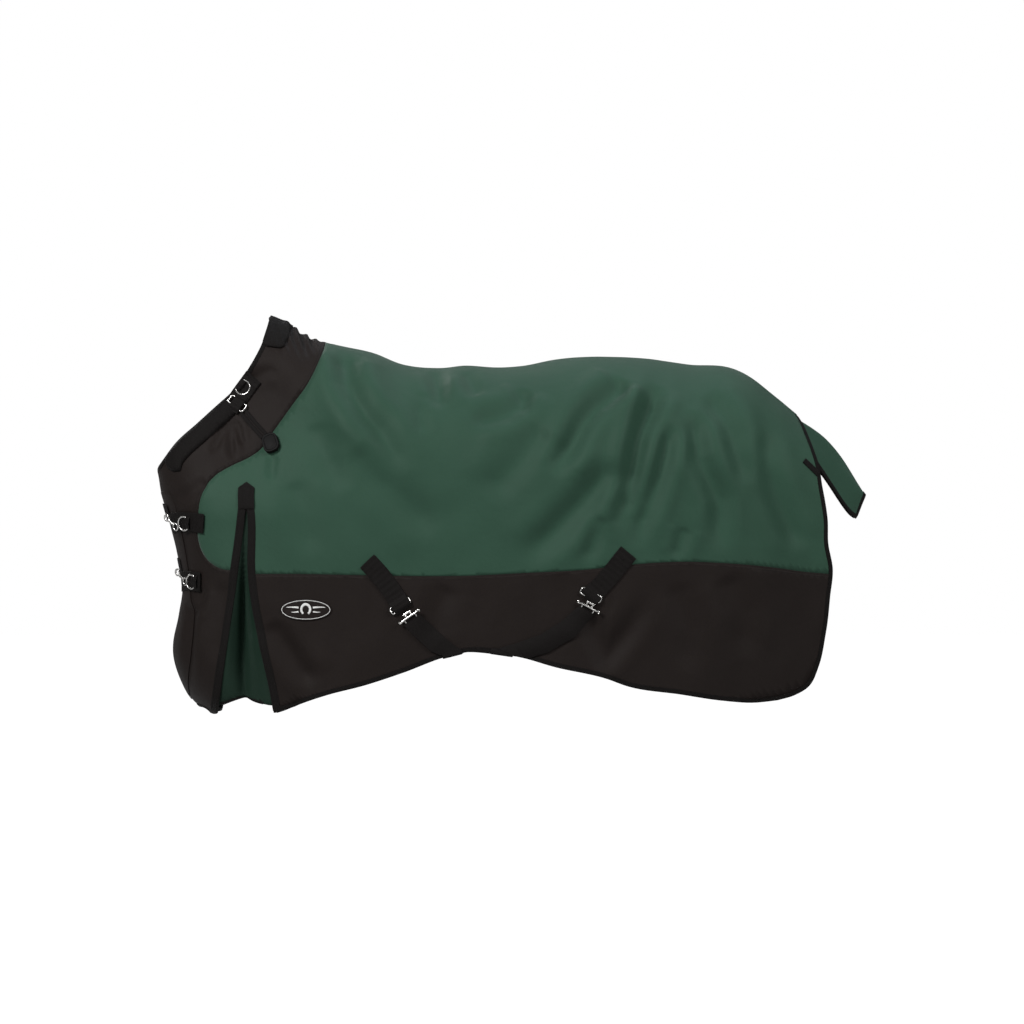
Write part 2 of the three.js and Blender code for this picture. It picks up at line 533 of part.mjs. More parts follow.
const flapHole = flapSheet(0.957, 0.918, -CLOTH - 9, 9, -0.02);
const flapTape = flapSheet(1, 1, -CLOTH - TAPE_SWELL, TAPE_SWELL, 0.08);
addSolid("tail_flap_binding", cut(flapTape, flapHole), TRIM);

// ---------------------------------------------------------------- metalwork's seat
// Puts a small piece, made flat in XZ with its face to -Y, on the near side, where all of it is at least
// `clear` above the cloth. `face` turns it from the cloth's own direction towards the side.
function seat(mesh, x, z, turn, clear, face = 0) {
  const normal = outward(x, z).lerp(new THREE.Vector3(0, -1, 0), face).normalize();
  const up = new THREE.Vector3(0, 0, 1).addScaledVector(normal, -normal.z).normalize();
  const along = new THREE.Vector3().crossVectors(normal, up).negate();
  mesh.quaternion.setFromRotationMatrix(new THREE.Matrix4().makeBasis(along, normal.clone().negate(), up));
  mesh.rotateY(turn);
  mesh.position.set(x, -halfAt(x, z), z);
  mesh.updateMatrix();
  const points = mesh.geometry.attributes.position;
  let push = -Infinity;
  for (let i = 0; i < points.count; i += 1) {
    const p = new THREE.Vector3().fromBufferAttribute(points, i).applyMatrix4(mesh.matrix);
    const under = halfAt(p.x, p.z, -p.y);
    push = Math.max(push, under + clear / Math.abs(normal.y) + p.y);
  }
  mesh.position.y -= push;
  return mesh;
}

// ---------------------------------------------------------------- belly straps
// Stations of each strap from its hook to the hem on the near side: [upper edge, lower edge].
const STRAP_STATIONS = {
  front: [
    [[-196, -640], [-239, -668]], [[-166, -668], [-205, -702]], [[-128, -704], [-166, -738]],
    [[-84, -738], [-134, -752]]],
  rear: [
    [[218, -620], [258, -641]], [[170, -662], [205, -702]], [[117, -695], [135, -742]],
    [[56, -717], [84, -757]], [[-12, -737], [46, -750]]],
};
const hemAt = smooth(HEM);
const HEM_DROP = 9;          // how far below the hem a strap passes under it
const BELLY_RISE = { front: 27, rear: 6 };
const STRAP_LIFT = 4;        // how far the near strap's middle plane stands off the cloth
const FAR_LIFT = 7;          // the same on the far side, where it lies over its sewn end
// Splits each run between two stations in three, and each station's width in two.
function finer(stations) {
  const mix = (a, b, t) => a.map((v, k) => v + (b[k] - v) * t);
  const cross = ([a, b]) => [a, mix(a, b, 0.5), b];
  return stations.flatMap((pair, i) => {
    if (i === stations.length - 1) return [cross(pair)];
    return [0, 1, 2].map((k) => cross(pair.map((p, e) => mix(p, stations[i + 1][e], k / 3))));
  });
}
function strapSections(name, opposite) {
  const near = finer(STRAP_STATIONS[name]);
  const start = near.at(-1);
  const far = finer(STRAP_STATIONS[opposite]).at(-1).reverse();
  const lifted = (row, lift, side) => row.map(([x, z]) => new THREE.Vector3(x, side * (halfAt(x, z) + lift), z));
  const turned = (row, side, out, drop) => row.map(([x]) => new THREE.Vector3(
    x, side * (halfAt(x, hemAt(x)) + out), hemAt(x) - drop));
  const first = turned(start, -1, -14, HEM_DROP);
  const last = turned(far, 1, -14, HEM_DROP);
  const crossing = [0.2, 0.4, 0.6, 0.8].map((t) => first.map((p, k) => {
    const q = p.clone().lerp(last[k], t);
    q.z += BELLY_RISE[name] * Math.sin(Math.PI * t);
    return q;
  }));
  const slant = name === "rear" ? -8 : 8;
  return [
    ...near.map((row) => lifted(row, STRAP_LIFT, -1)),
    turned(start, -1, STRAP_LIFT, 6), turned(start, -1, -3, HEM_DROP), first,
    ...crossing,
    last, turned(far, 1, -3, HEM_DROP), turned(far, 1, FAR_LIFT, 6),
    lifted(far, FAR_LIFT, 1), lifted(far.map(([x, z]) => [x + slant, z + 26]), FAR_LIFT, 1)];
}
function ribbon(sections) {
  const middle = sections.map((row) => row[1]);
  const face = (by) => sections.map((row, i) => {
    const tangent = middle[Math.min(i + 1, middle.length - 1)].clone().sub(middle[Math.max(i - 1, 0)]);
    const normal = tangent.cross(row[0].clone().sub(row[2])).normalize();
    return row.map((p) => p.clone().addScaledVector(normal, by)).reverse();
  });
  return closedSheet(face(WEB / 2), face(-WEB / 2));
}
add("belly_strap_front", ribbon(strapSections("front", "rear")), TRIM);
add("belly_strap_rear", ribbon(strapSections("rear", "front")), TRIM);

// ---------------------------------------------------------------- metalwork, as it lies on the near side
const WIRE = 4.4;
function plate(outer, holes, depth) {
  const shape = new THREE.Shape(outer);
  shape.holes = holes.map((hole) => new THREE.Path(hole));
  const geometry = new THREE.ExtrudeGeometry(shape, { depth, bevelEnabled: false });
  geometry.rotateX(Math.PI / 2);
  return geometry;
}
function roundedBox(wide, high, radius) {
  const points = [];
  for (const [sx, sy, from] of [[1, 1, 0], [-1, 1, 1], [-1, -1, 2], [1, -1, 3]]) {
    for (let k = 0; k <= 4; k += 1) {
      const turn = (from + k / 4) * Math.PI / 2;
      points.push(new THREE.Vector2(
        sx * (wide / 2 - radius) + radius * Math.cos(turn), sy * (high / 2 - radius) + radius * Math.sin(turn)));
    }
  }
  return points;
}
const frameRing = (wide, high) => plate(
  roundedBox(wide, high, 5), [roundedBox(wide - 2 * WIRE, high - 2 * WIRE, 2).reverse()], WIRE);
function deeRing(radius) {
  const arc = (r, flat) => Array.from({ length: 15 }, (_, i) => {
    const turn = Math.PI * (0.72 - 1.44 * i / 14) + Math.PI;
    return new THREE.Vector2(Math.max(-flat, r * Math.cos(turn - Math.PI)), r * Math.sin(turn - Math.PI));
  });
  return plate(arc(radius, radius), [arc(radius - WIRE, radius - 2 * WIRE).reverse()], WIRE);
}
const bar = (length, radius, x, z, turn) => {
  const geometry = new THREE.CapsuleGeometry(radius, length, 2, 8);
  geometry.rotateZ(-Math.PI / 2);
  geometry.rotateY(turn);
  geometry.translate(x, -radius, z);
  return toSolid(geometry);
};

add("neck_ring", deeRing(19), STEEL);
seat(blanket.getObjectByName("neck_ring"), -653, -57, 0.7, 4.8);
add("neck_slide", frameRing(48, 20), STEEL);
seat(blanket.getObjectByName("neck_slide"), -667, -101, 0.66, 7.2);
const toggle = new THREE.ExtrudeGeometry(new THREE.Shape(roundedBox(46, 38, 14)), {
  depth: 8, bevelEnabled: true, bevelThickness: 3, bevelSize: 3, bevelSegments: 2 });
toggle.rotateX(Math.PI / 2);
seat(add("neck_toggle", toggle, RESIN), -588, -200, 0.9, 5);

const BREAST_FITTINGS = [{ ring: [-806, -408], hook: [-832, -403] }, { ring: [-793, -560], hook: [-804, -546] }];
BREAST_FITTINGS.forEach(({ ring, hook }, i) => {
  seat(add(`chest_ring_${i + 1}`, deeRing(18), STEEL), ...ring, Math.PI, 7, 0.2);
  const parts = all(bar(34, 5, 0, 0, 0), bar(10, 4, 20, 0, Math.PI / 2), bar(10, 4, -20, 0, Math.PI / 2));
  seat(add(`chest_hook_${i + 1}`, toGeometry(parts), STEEL), ...hook, 0.2, 18, 0.2);
});

const BELLY_FITTINGS = {
  front: { ring: [-243, -621], hook: [-219, -649], turn: -0.6 },
  rear: { ring: [247, -593], hook: [241, -624], turn: 0.5 } };
for (const [end, { ring, hook, turn }] of Object.entries(BELLY_FITTINGS)) {
  seat(add(`belly_ring_${end}`, frameRing(64, 18), STEEL), ...ring, turn, 3);
  const tee = all(bar(50, 3, 0, 0, 0), bar(16, 3, 0, 12, 0), bar(10, 3, 0, 6, Math.PI / 2));
  seat(add(`belly_hook_${end}`, toGeometry(tee), STEEL), ...hook, turn, 7);
}

export default blanket;
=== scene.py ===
# %% [markdown]
# # A turnout blanket, modelled and finished in Blender
#
# A turnout blanket is a horse's raincoat. Shaped panels of coated nylon are sewn together so that they
# follow the back, round the breast and hang down the sides. Black tape binds every edge, and webbing
# with metal hooks holds it on. This lesson rebuilds one in its worn shape, round a plain hollow frame
# that already says where every piece goes.

# %% Load the frame
import math

import bmesh
import bpy
import numpy as np
from mathutils import Matrix, Vector
from mathutils.geometry import delaunay_2d_cdt

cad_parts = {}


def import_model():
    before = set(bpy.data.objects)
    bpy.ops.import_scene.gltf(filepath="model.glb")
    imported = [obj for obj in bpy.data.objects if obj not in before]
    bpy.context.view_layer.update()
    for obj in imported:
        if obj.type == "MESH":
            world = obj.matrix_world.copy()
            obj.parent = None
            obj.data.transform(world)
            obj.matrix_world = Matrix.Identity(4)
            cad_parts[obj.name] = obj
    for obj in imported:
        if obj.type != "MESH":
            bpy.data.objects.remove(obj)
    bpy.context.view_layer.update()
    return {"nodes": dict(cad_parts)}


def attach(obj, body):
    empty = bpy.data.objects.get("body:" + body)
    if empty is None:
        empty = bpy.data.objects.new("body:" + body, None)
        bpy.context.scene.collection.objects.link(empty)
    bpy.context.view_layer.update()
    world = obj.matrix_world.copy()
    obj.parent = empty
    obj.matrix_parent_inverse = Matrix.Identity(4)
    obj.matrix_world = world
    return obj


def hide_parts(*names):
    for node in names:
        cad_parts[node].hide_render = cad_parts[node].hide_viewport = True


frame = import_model()
MM = 0.001
print("frame:", len(frame["nodes"]), "nodes")

# %% [markdown]
# ## The camera, first
#
# The blanket is looked at square from the near side, from far away, as a long lens sees it. Its view
# takes in about two and a half metres. A long lens keeps the far side from looking smaller than the near.

# %% Camera
VIEW_WIDTH = 2.662                      # metres seen across the picture, at the blanket
LENS = 300.0
SENSOR = 36.0
AIM = Vector((0.044, -0.08, -0.374))    # the middle of the picture
DISTANCE = VIEW_WIDTH * LENS / SENSOR

camera_data = bpy.data.cameras.new("camera")
camera_data.lens = LENS
camera_data.sensor_width = SENSOR
camera_data.clip_end = 90.0
camera = bpy.data.objects.new("camera", camera_data)
camera.location = AIM + Vector((0.0, -DISTANCE, 0.0))
camera.rotation_euler = (math.radians(90.0), 0.0, 0.0)
bpy.context.scene.collection.objects.link(camera)
bpy.context.scene.camera = camera

# %% [markdown]
# ## The lines that the maker's pattern follows
#
# Each line is a short list of stations in millimetres. The line of the back and the line of the breast
# carry the blanket's profile. The seams and edges are drawn on its side. They are the frame's own
# lines, so the fine cloth lands exactly where the frame's solids are.

# %% Stations of the profile
ORIGIN_RISE = 6.0     # the frame's origin is on the inner face under the back
CLOTH = 3.0
BREAST_ROUND = 175.0
SQUARENESS = 2.3
NECK_NARROWING = 128.0
TOP_LINE = [
    (-1060, 400), (-820, 268), (-690, 192), (-588, 129), (-529, 104), (-489, 78), (-440, 62), (-387, 50),
    (-320, 35), (-237, 4), (-147, -4), (-78, 2), (0, -3), (68, 1), (161, 19), (252, 25), (393, 20), (512, 4),
    (600, -1), (652, -20), (736, -83), (785, -124), (840, -168), (920, -235)]
BREAST_LINE = [
    (-960, -735), (-905, -752), (-870, -788), (-816, -818), (-760, -836), (-720, -837), (-650, -822),
    (-569, -812), (-502, -824), (-440, -838), (-376, -856), (-326, -871), (-285, -878), (-200, -902),
    (-60, -962), (140, -1040), (420, -1150)]
BODY_WIDTH = [
    (-1060, 190), (-880, 208), (-780, 226), (-640, 250), (-480, 272), (-300, 296), (-100, 314), (100, 326),
    (300, 330), (450, 322), (600, 300), (720, 262), (820, 222), (920, 186)]
BACK_ROUND = [
    (-1060, 120), (-700, 140), (-560, 175), (-420, 220), (-250, 262), (0, 290), (300, 300), (550, 285),
    (700, 240), (800, 190), (920, 150)]

NECK_EDGE = [
    (-592, 146), (-587, 124), (-603, 60), (-623, 18), (-648, -23), (-684, -70), (-715, -98), (-773, -150),
    (-831, -203), (-866, -250), (-900, -296)]
YOKE_SEAM = [
    (-438, 90), (-441, 62), (-450, 21), (-465, -12), (-486, -49), (-524, -102), (-574, -172), (-607, -218),
    (-640, -240), (-673, -256), (-719, -283), (-750, -317), (-764, -360), (-769, -410), (-769, -450),
    (-760, -480), (-738, -510), (-706, -527), (-660, -531)]
SKIRT_SEAM = [
    (-640, -540), (-498, -540), (-340, -543), (-190, -545), (-69, -544), (94, -536), (226, -529), (354, -515),
    (481, -508), (610, -513), (726, -524), (796, -534), (900, -544)]
HEM = [
    (-552, -898), (-502, -874), (-433, -851), (-337, -826), (-237, -793), (-127, -752), (-81, -741),
    (-52, -738), (0, -742), (70, -754), (151, -777), (291, -809), (337, -826), (481, -849), (585, -865),
    (680, -871), (730, -865)]
REAR_EDGE = [
    (730, -865), (774, -852), (810, -830), (837, -777), (856, -688), (866, -601), (873, -530), (861, -462),
    (859, -397), (854, -360), (845, -310), (837, -260), (824, -220), (812, -186), (800, -154), (786, -128)]
FRONT_HEM = [(-900, -905), (-840, -893), (-797, -880), (-772, -884), (-748, -893), (-734, -904)]
SLIT_FRONT = [(-642, -352), (-646, -390), (-665, -539), (-722, -912)]
SLIT_REAR = [(-642, -352), (-638, -390), (-637, -538), (-577, -863), (-566, -925)]
GUSSET_HEM = [(-740, -902), (-711, -884), (-679, -875), (-637, -872), (-601, -876), (-560, -900)]
SLIT_TAPE = 19.0
TAPE = 10.0
GUSSET_DEPTH = 38.0

# %% [markdown]
# ## A smooth line through stations
#
# A maker's curve passes through its marks without corners. The helper joins the stations by cubic
# pieces whose slopes agree where they meet. It works on a whole array at once, so that a fine mesh of
# many thousand points takes no time.


# %% Smooth lines
def smooth(stations):
    at = np.array([s[0] for s in stations], float)
    value = np.array([s[1] for s in stations], float)
    chord = np.diff(value) / np.diff(at)
    slope = np.concatenate([[chord[0]], (chord[:-1] + chord[1:]) / 2, [chord[-1]]])

    def line(where):
        t = np.clip(where, at[0], at[-1])
        i = np.clip(np.searchsorted(at, t, side="left") - 1, 0, len(at) - 2)
        span = at[i + 1] - at[i]
        s = (t - at[i]) / span
        rise = s * s * (3 - 2 * s)
        lead = s * (1 - s) ** 2 * span * slope[i]
        trail = s * s * (1 - s) * span * slope[i + 1]
        return value[i] * (1 - rise) + value[i + 1] * rise + lead - trail

    return line


def ease(s):
    t = np.clip(s, 0.0, 1.0)
    return t * t * (3 - 2 * t)


top_at = smooth(TOP_LINE)
breast_at = smooth(BREAST_LINE)
body_at = smooth(BODY_WIDTH)
round_at = smooth(BACK_ROUND)


def route_distance(x, z, route):
    """How far each point is from a route, and how far along the route its nearest point lies, 0 to 1."""
    best = np.full(np.shape(x), 1e9)
    along = np.zeros(np.shape(x))
    count = len(route) - 1
    for i in range(count):
        (ax, az), (bx, bz) = route[i], route[i + 1]
        len2 = (bx - ax) ** 2 + (bz - az) ** 2
        s = np.clip(((x - ax) * (bx - ax) + (z - az) * (bz - az)) / len2, 0, 1)
        off = np.hypot(x - ax - s * (bx - ax), z - az - s * (bz - az))
        nearer = off < best
        best = np.where(nearer, off, best)
        along = np.where(nearer, (i + s) / count, along)
    return best, along


# %% [markdown]
# ## Creases
#
# Stiff coated cloth doesn't ripple like silk. It breaks into long soft troughs that run from where it
# is held to where it hangs, each with a low ridge beside it. Each trough here is a route on the side
# of the blanket with a depth and a width in millimetres.

# %% Troughs and ridges
CREASES = [
    # (route, depth, half-width, share of the depth in the ridges)
    ([(-378, 40), (-385, 8), (-383, -36), (-366, -77), (-335, -124), (-301, -161), (-256, -236),
      (-226, -281)], 15, 30, 0.42),
    ([(-156, -8), (-147, -62), (-147, -116)], 8, 22, 0.35),
    ([(-186, -70), (-190, -120), (-186, -185)], 4, 18, 0.3),
    ([(-74, -12), (-58, -50), (-40, -86)], 6, 20, 0.35),
    ([(78, -60), (66, -102), (32, -126), (-27, -138), (-66, -153)], 10, 24, 0.45),
    ([(331, -34), (318, -58), (261, -101), (226, -146), (197, -201), (166, -251), (150, -292)], 16, 26, 0.42),
    ([(137, -166), (98, -210), (57, -255), (10, -305), (-24, -348)], 9, 40, 0.3),
    ([(321, -251), (262, -318), (201, -380), (132, -450), (62, -510)], 12, 34, 0.4),
    ([(276, -390), (255, -450), (236, -512)], 6, 20, 0.4),
    ([(422, -50), (396, -118), (373, -192), (359, -267), (345, -332), (331, -378), (317, -455)],
     20, 26, 0.45),
    ([(452, -150), (438, -220), (420, -281), (401, -341), (378, -406), (362, -476)], 16, 24, 0.4),
    ([(524, -120), (519, -183), (526, -239), (554, -295), (577, -350), (577, -420), (582, -489)],
     11, 26, 0.4),
    ([(550, -70), (587, -127), (615, -183), (638, -257), (656, -313)], 10, 28, 0.4),
    ([(694, -170), (703, -257), (731, -350), (768, -434), (791, -480)], 9, 28, 0.4),
    ([(489, -420), (478, -462), (464, -502)], 6, 18, 0.4),
    ([(-361, -211), (-306, -290), (-216, -375), (-150, -440)], 8, 40, 0.35),
    ([(-470, -150), (-440, -240), (-380, -330)], 6, 34, 0.3),
    ([(-572, -231), (-576, -262), (-580, -300)], 5, 12, 0.3),
    ([(-520, -300), (-500, -390), (-470, -500)], 5, 34, 0.3),
    ([(246, -640), (262, -700), (286, -754), (340, -690), (403, -582)], 8, 26, 0.4),
    ([(-584, -663), (-542, -725), (-502, -783), (-462, -828)], 9, 26, 0.4),
    ([(-120, -570), (-150, -640), (-160, -720)], 5, 30, 0.3),
    ([(600, -540), (640, -640), (650, -760)], 6, 36, 0.3),
    ([(470, -560), (500, -680), (490, -800)], 5, 32, 0.3),
    ([(-679, -143), (-684, -190), (-681, -246)], 5, 9, 0.3),
    ([(-667, -143), (-662, -175), (-655, -208)], 5, 8, 0.3),
    ([(-690, -150), (-716, -190), (-738, -232)], 4, 9, 0.3),
    ([(-640, -40), (-600, -20), (-560, -10)], 3, 14, 0.3),
    ([(-797, -610), (-783, -655), (-792, -743), (-798, -831)], 4, 12, 0.4),
    ([(-753, -576), (-764, -620), (-781, -655)], 4, 12, 0.4),
    ([(-745, -300), (-790, -330), (-830, -350)], 4, 16, 0.3),
    ([(-700, -560), (-712, -660), (-730, -780)], 4, 20, 0.3),
]
RIPPLES = 9            # gentle unevenness of the cloth, as crossing waves of many lengths
RIPPLE_HEIGHT = 1.5
FOLD_DEPTH = 1.5       # one knob for how deep all the folds are
GATHERS = 5.5          # height of the gathers that the elastic draws in at the crest, mm


def ripples(x, z):
    total = np.zeros(np.shape(x))
    for k in range(RIPPLES):
        heading = 2.399963 * k
        length = 70.0 + 31.0 * k
        phase = x * math.cos(heading) + z * math.sin(heading)
        drift = 22.0 * np.sin((x * math.sin(heading) - z * math.cos(heading)) / (1.7 * length) + k)
        total += np.sin(2 * math.pi * (phase + drift) / length + 1.3 * k) * (0.35 + 0.65 * length / 320.0)
    return RIPPLE_HEIGHT * total / math.sqrt(RIPPLES)


def creases(x, z):
    """How far the cloth falls in (+) or swells out (-) at each point of the side."""
    total = np.zeros(np.shape(x))
    for route, deep, wide, ridge in CREASES:
        off, along = route_distance(x, z, route)
        fade = ease(along / 0.18 + 0.2) * ease((1 - along) / 0.3 + 0.1)
        trough = np.exp(-((off / wide) ** 2))
        beside = np.exp(-(((off - 1.9 * wide) / wide) ** 2))
        total += FOLD_DEPTH * deep * fade * (trough - ridge * beside)
    return total


def gathers(x, z):
    """Small upright puckers behind the crest band, dying out down the collar."""
    near = np.exp(-(((x + 500.0) / 42.0) ** 2)) * ease((z - 8.0) / 60.0)
    return GATHERS * near * np.sin((x + 0.35 * z) / 3.4)


# %% [markdown]
# ## The worn surface
#
# The cloth's outer face is worked out like a lofted shell. Going down from the back, it rounds over
# and then hangs. Going back from the breast, it rounds the chest and then runs along the body. A point
# is named by how far along and how far down it lies, measured on the cloth itself. Down is negative on
# the near side and positive on the off side. These two numbers also serve as UV coordinates, so the
# weave keeps its size everywhere.


# %% Where a point of the cloth lies
def width_at(x, z):
    neck = ease((z + 400) / 360) * ease((-300 - x) / 360)
    below = np.maximum(0, -470 - z)
    lean = 0.05 * below * ease((x - 350) / 400) + 0.02 * below
    return body_at(x) - NECK_NARROWING * neck - lean


def back_arc(x):
    return (math.pi / 2) * np.sqrt((round_at(x) ** 2 + body_at(x) ** 2) / 2)


BREAST_ARC = (math.pi / 2) * math.sqrt((BREAST_ROUND ** 2 + 200.0 ** 2) / 2)
POWER = 2.0 / SQUARENESS


def to_cloth(x, z):
    """A point of the side view, in mm, as how far along and how far down the cloth it lies."""
    x = np.asarray(x, float)
    z = np.minimum(z, top_at(x))
    deep = np.maximum(top_at(x) - z, 0)
    round_ = round_at(x)
    fall = np.arccos(np.clip(1 - deep / round_, 0, 1))
    down = np.where(deep < round_, fall / (math.pi / 2) * back_arc(x), back_arc(x) + deep - round_)
    past = np.maximum(x - breast_at(z), 0)
    turn = np.arccos(np.clip(1 - past / BREAST_ROUND, 0, 1) ** (1 / POWER))
    along = np.where(past < BREAST_ROUND, turn / (math.pi / 2) * BREAST_ARC,
                     BREAST_ARC + past - BREAST_ROUND)
    return along, down


def smooth_face(along, down):
    """The uncreased face, in mm, and how far each point is from the back and breast lines, 0 to 1."""
    deep_down = np.abs(down)
    x = np.full(np.shape(along), -300.0)
    for _ in range(20):
        round_ = round_at(x)
        arc = back_arc(x)
        fall = np.clip(deep_down / arc, 0, 1) * math.pi / 2
        z = top_at(x) - np.where(deep_down < arc, round_ * (1 - np.cos(fall)), round_ + deep_down - arc)
        turn = np.clip(along / BREAST_ARC, 0, 1) * math.pi / 2
        x = breast_at(z) + np.where(along < BREAST_ARC, BREAST_ROUND * (1 - np.cos(turn) ** POWER),
                                    BREAST_ROUND + along - BREAST_ARC)
    full = np.sin(fall) * np.sin(turn) ** POWER
    half = np.maximum(width_at(x, z) * full, np.where(deep_down < 0.01, 0.0, 0.6))
    return np.stack([x, np.sign(down) * half, z], axis=-1), full


def outward(along, down):
    """The direction that the uncreased face looks in."""
    step = 5.0
    onward = smooth_face(along + step, down)[0] - smooth_face(np.maximum(along - step, 0.0), down)[0]
    upward = smooth_face(along, down + step)[0] - smooth_face(along, down - step)[0]
    normal = np.cross(onward, upward)
    return normal / np.maximum(np.linalg.norm(normal, axis=-1, keepdims=True), 1e-9)


# %% [markdown]
# ## Creases, gathers and seams on that surface
#
# Stiff coated cloth doesn't ripple like silk. It breaks into long soft troughs that run from where it
# is held to where it hangs, each with a low ridge beside it. Elastic at the crest draws the collar into
# small puckers, and every sewn seam lies a little lower than the cloth beside it.


# %% The cloth as it is worn
SEAM_DIP = 0.5


def dip_at_seams(x, z):
    near = np.minimum(route_distance(x, z, YOKE_SEAM)[0], route_distance(x, z, SKIRT_SEAM)[0])
    return SEAM_DIP * np.exp(-((near / 11.0) ** 2))


def flutes(x, z):
    """Slow waves that the free hem hangs in."""
    return 3.0 * np.sin(x / 47.0 + 0.6 * np.sin(x / 90.0)) * ease((-640 - z) / 200.0)


def skin(along, down, lift=0.0):
    """Points of the worn cloth, in metres. lift, in mm, is how far outside its outer face they lie."""
    along, down = np.asarray(along, float), np.asarray(down, float)
    face, full = smooth_face(along, down)
    x, z = face[..., 0], face[..., 2]
    apart = ease(down / 200.0)              # the off side has folds of its own
    fold_x, fold_z = x - 46 * apart, z + 24 * apart
    away = (creases(fold_x, fold_z) + flutes(x, z)) * ease(full * 1.6)
    away = away + ripples(fold_x, fold_z) * (0.35 + 0.65 * ease(full * 1.6)) + dip_at_seams(x, z)
    away = away - gathers(x, z)
    shift = np.asarray(lift - away)[..., None]
    return (face + outward(along, down) * shift + np.array([0, 0, ORIGIN_RISE])) * MM


print("cloth at the withers, m:", skin(np.array([500.0]), np.array([0.0])).round(3))

# %% [markdown]
# ## From a paper pattern to a mesh
#
# A panel is cut flat, so it is meshed flat. Its edge is a smooth curve through the pattern's marks, and
# its inside is filled with an even lattice of small triangles. Only then is each point carried to its
# place on the worn surface. Even triangles crease evenly, where long thin ones would show facets.

# %% Curves and outlines
CELL = 8.0       # size of the lattice, mm


def curve(line, step=6.0):
    """Evenly spaced points on a smooth curve through a line's marks."""
    p = np.array(line, float)
    gap = np.hypot(*np.diff(p, axis=0).T)[:, None]
    chord = np.diff(p, axis=0) / gap
    inner = (chord[:-1] * gap[1:] + chord[1:] * gap[:-1]) / (gap[1:] + gap[:-1])
    slope = np.vstack([chord[:1], inner, chord[-1:]])
    t = np.linspace(0, 1, 30, endpoint=False)[:, None]
    pieces = []
    for i in range(len(p) - 1):
        a, b, d = p[i], p[i + 1], gap[i]
        pieces.append(a * (1 + 2 * t) * (1 - t) ** 2 + b * t * t * (3 - 2 * t)
                      + slope[i] * d * t * (1 - t) ** 2 - slope[i + 1] * d * t * t * (1 - t))
    fine = np.vstack(pieces + [p[-1:]])
    length = np.concatenate([[0], np.cumsum(np.hypot(*np.diff(fine, axis=0).T))])
    at = np.linspace(0, length[-1], max(2, int(round(length[-1] / step)) + 1))
    return np.stack([np.interp(at, length, fine[:, 0]), np.interp(at, length, fine[:, 1])], axis=1)


def cloth_line(line, side):
    """A line of the side view as a line on the cloth, on the near (-1) or off (1) side."""
    line = np.asarray(line, float)
    along, down = to_cloth(line[:, 0], line[:, 1])
    return np.stack([along, side * down], axis=1)


def spread(line, step):
    """The same line with its points evenly spaced, each `step` or less apart."""
    line = np.asarray(line, float)
    length = np.concatenate([[0], np.cumsum(np.hypot(*np.diff(line, axis=0).T))])
    at = np.linspace(0, length[-1], max(2, int(math.ceil(length[-1] / step)) + 1))
    return np.stack([np.interp(at, length, line[:, 0]), np.interp(at, length, line[:, 1])], axis=1)


def before(line, z):
    """The part of a falling line above a height, ending on it."""
    i = int(np.argmax(line[:, 1] < z))
    s = (line[i - 1, 1] - z) / (line[i - 1, 1] - line[i, 1])
    return np.vstack([line[:i], line[i - 1] + s * (line[i] - line[i - 1])])


def after(line, z):
    """The part of a falling line below a height, starting on it."""
    return np.vstack([before(line, z)[-1:], line[line[:, 1] < z]])


yoke = curve(YOKE_SEAM[:-1] + [(-664, -531)])
slit_front = curve(SLIT_FRONT[:-1] + [(-720, -903)])
slit_rear = curve(SLIT_REAR[:-2] + [(-577, -863), (-571, -899)])
skirt_seam = curve([(-637, -540)] + SKIRT_SEAM[1:-2] + [(796, -534), (871, -541)])
hem = curve([(-569, -899), (-552, -894)] + HEM[1:])
rear_edge = curve(REAR_EDGE)
rear_low, rear_high = rear_edge[rear_edge[:, 1] < -541], rear_edge[rear_edge[:, 1] >= -541]
neck_edge = curve(NECK_EDGE)
front_hem = curve([(-780, -884)] + FRONT_HEM[4:] + [(-720, -903)])
breast_z = np.arange(-883, -272, 6.0)
breast_edge = np.stack([breast_at(breast_z) - 2, breast_z], axis=1)

# %% Filling an outline with triangles


def fill(outline, cell):
    """Points and triangles of an even lattice inside a closed outline, whose own points come first."""
    outline = np.asarray(outline, float)
    keep = np.hypot(*(outline - np.roll(outline, 1, axis=0)).T) > 0.05
    outline = outline[keep]
    if np.dot(outline[:, 0], np.roll(outline[:, 1], -1)) < np.dot(outline[:, 1], np.roll(outline[:, 0], -1)):
        outline = outline[::-1]
    low, high = outline.min(0), outline.max(0)
    rows = np.arange(low[1] + cell / 2, high[1], cell * 0.866)
    columns = np.arange(low[0], high[0] + cell, cell)
    grid = np.array([(x + cell / 2 * (k % 2), y) for k, y in enumerate(rows) for x in columns])
    a, b = outline, np.roll(outline, -1, axis=0)
    keep = np.zeros(len(grid), bool)
    for start in range(0, len(grid), 4000):
        p = grid[start:start + 4000]
        px, py = p[:, :1], p[:, 1:]
        crosses = (a[:, 1] > py) != (b[:, 1] > py)
        rise = np.where(b[:, 1] == a[:, 1], 1e-9, b[:, 1] - a[:, 1])
        inside = (crosses & (px < (b[:, 0] - a[:, 0]) * (py - a[:, 1]) / rise + a[:, 0])).sum(1) % 2 == 1
        near = np.hypot(px - a[:, 0], py - a[:, 1]).min(1)
        keep[start:start + 4000] = inside & (near > 0.62 * cell)
    points = np.vstack([outline, grid[keep]])
    count = len(outline)
    out = delaunay_2d_cdt([Vector(p) for p in points], [(i, (i + 1) % count) for i in range(count)],
                          [list(range(count))], 1, 1e-5)
    flat = np.array([tuple(v) for v in out[0]])
    return flat, [list(f) for f in out[2]], count


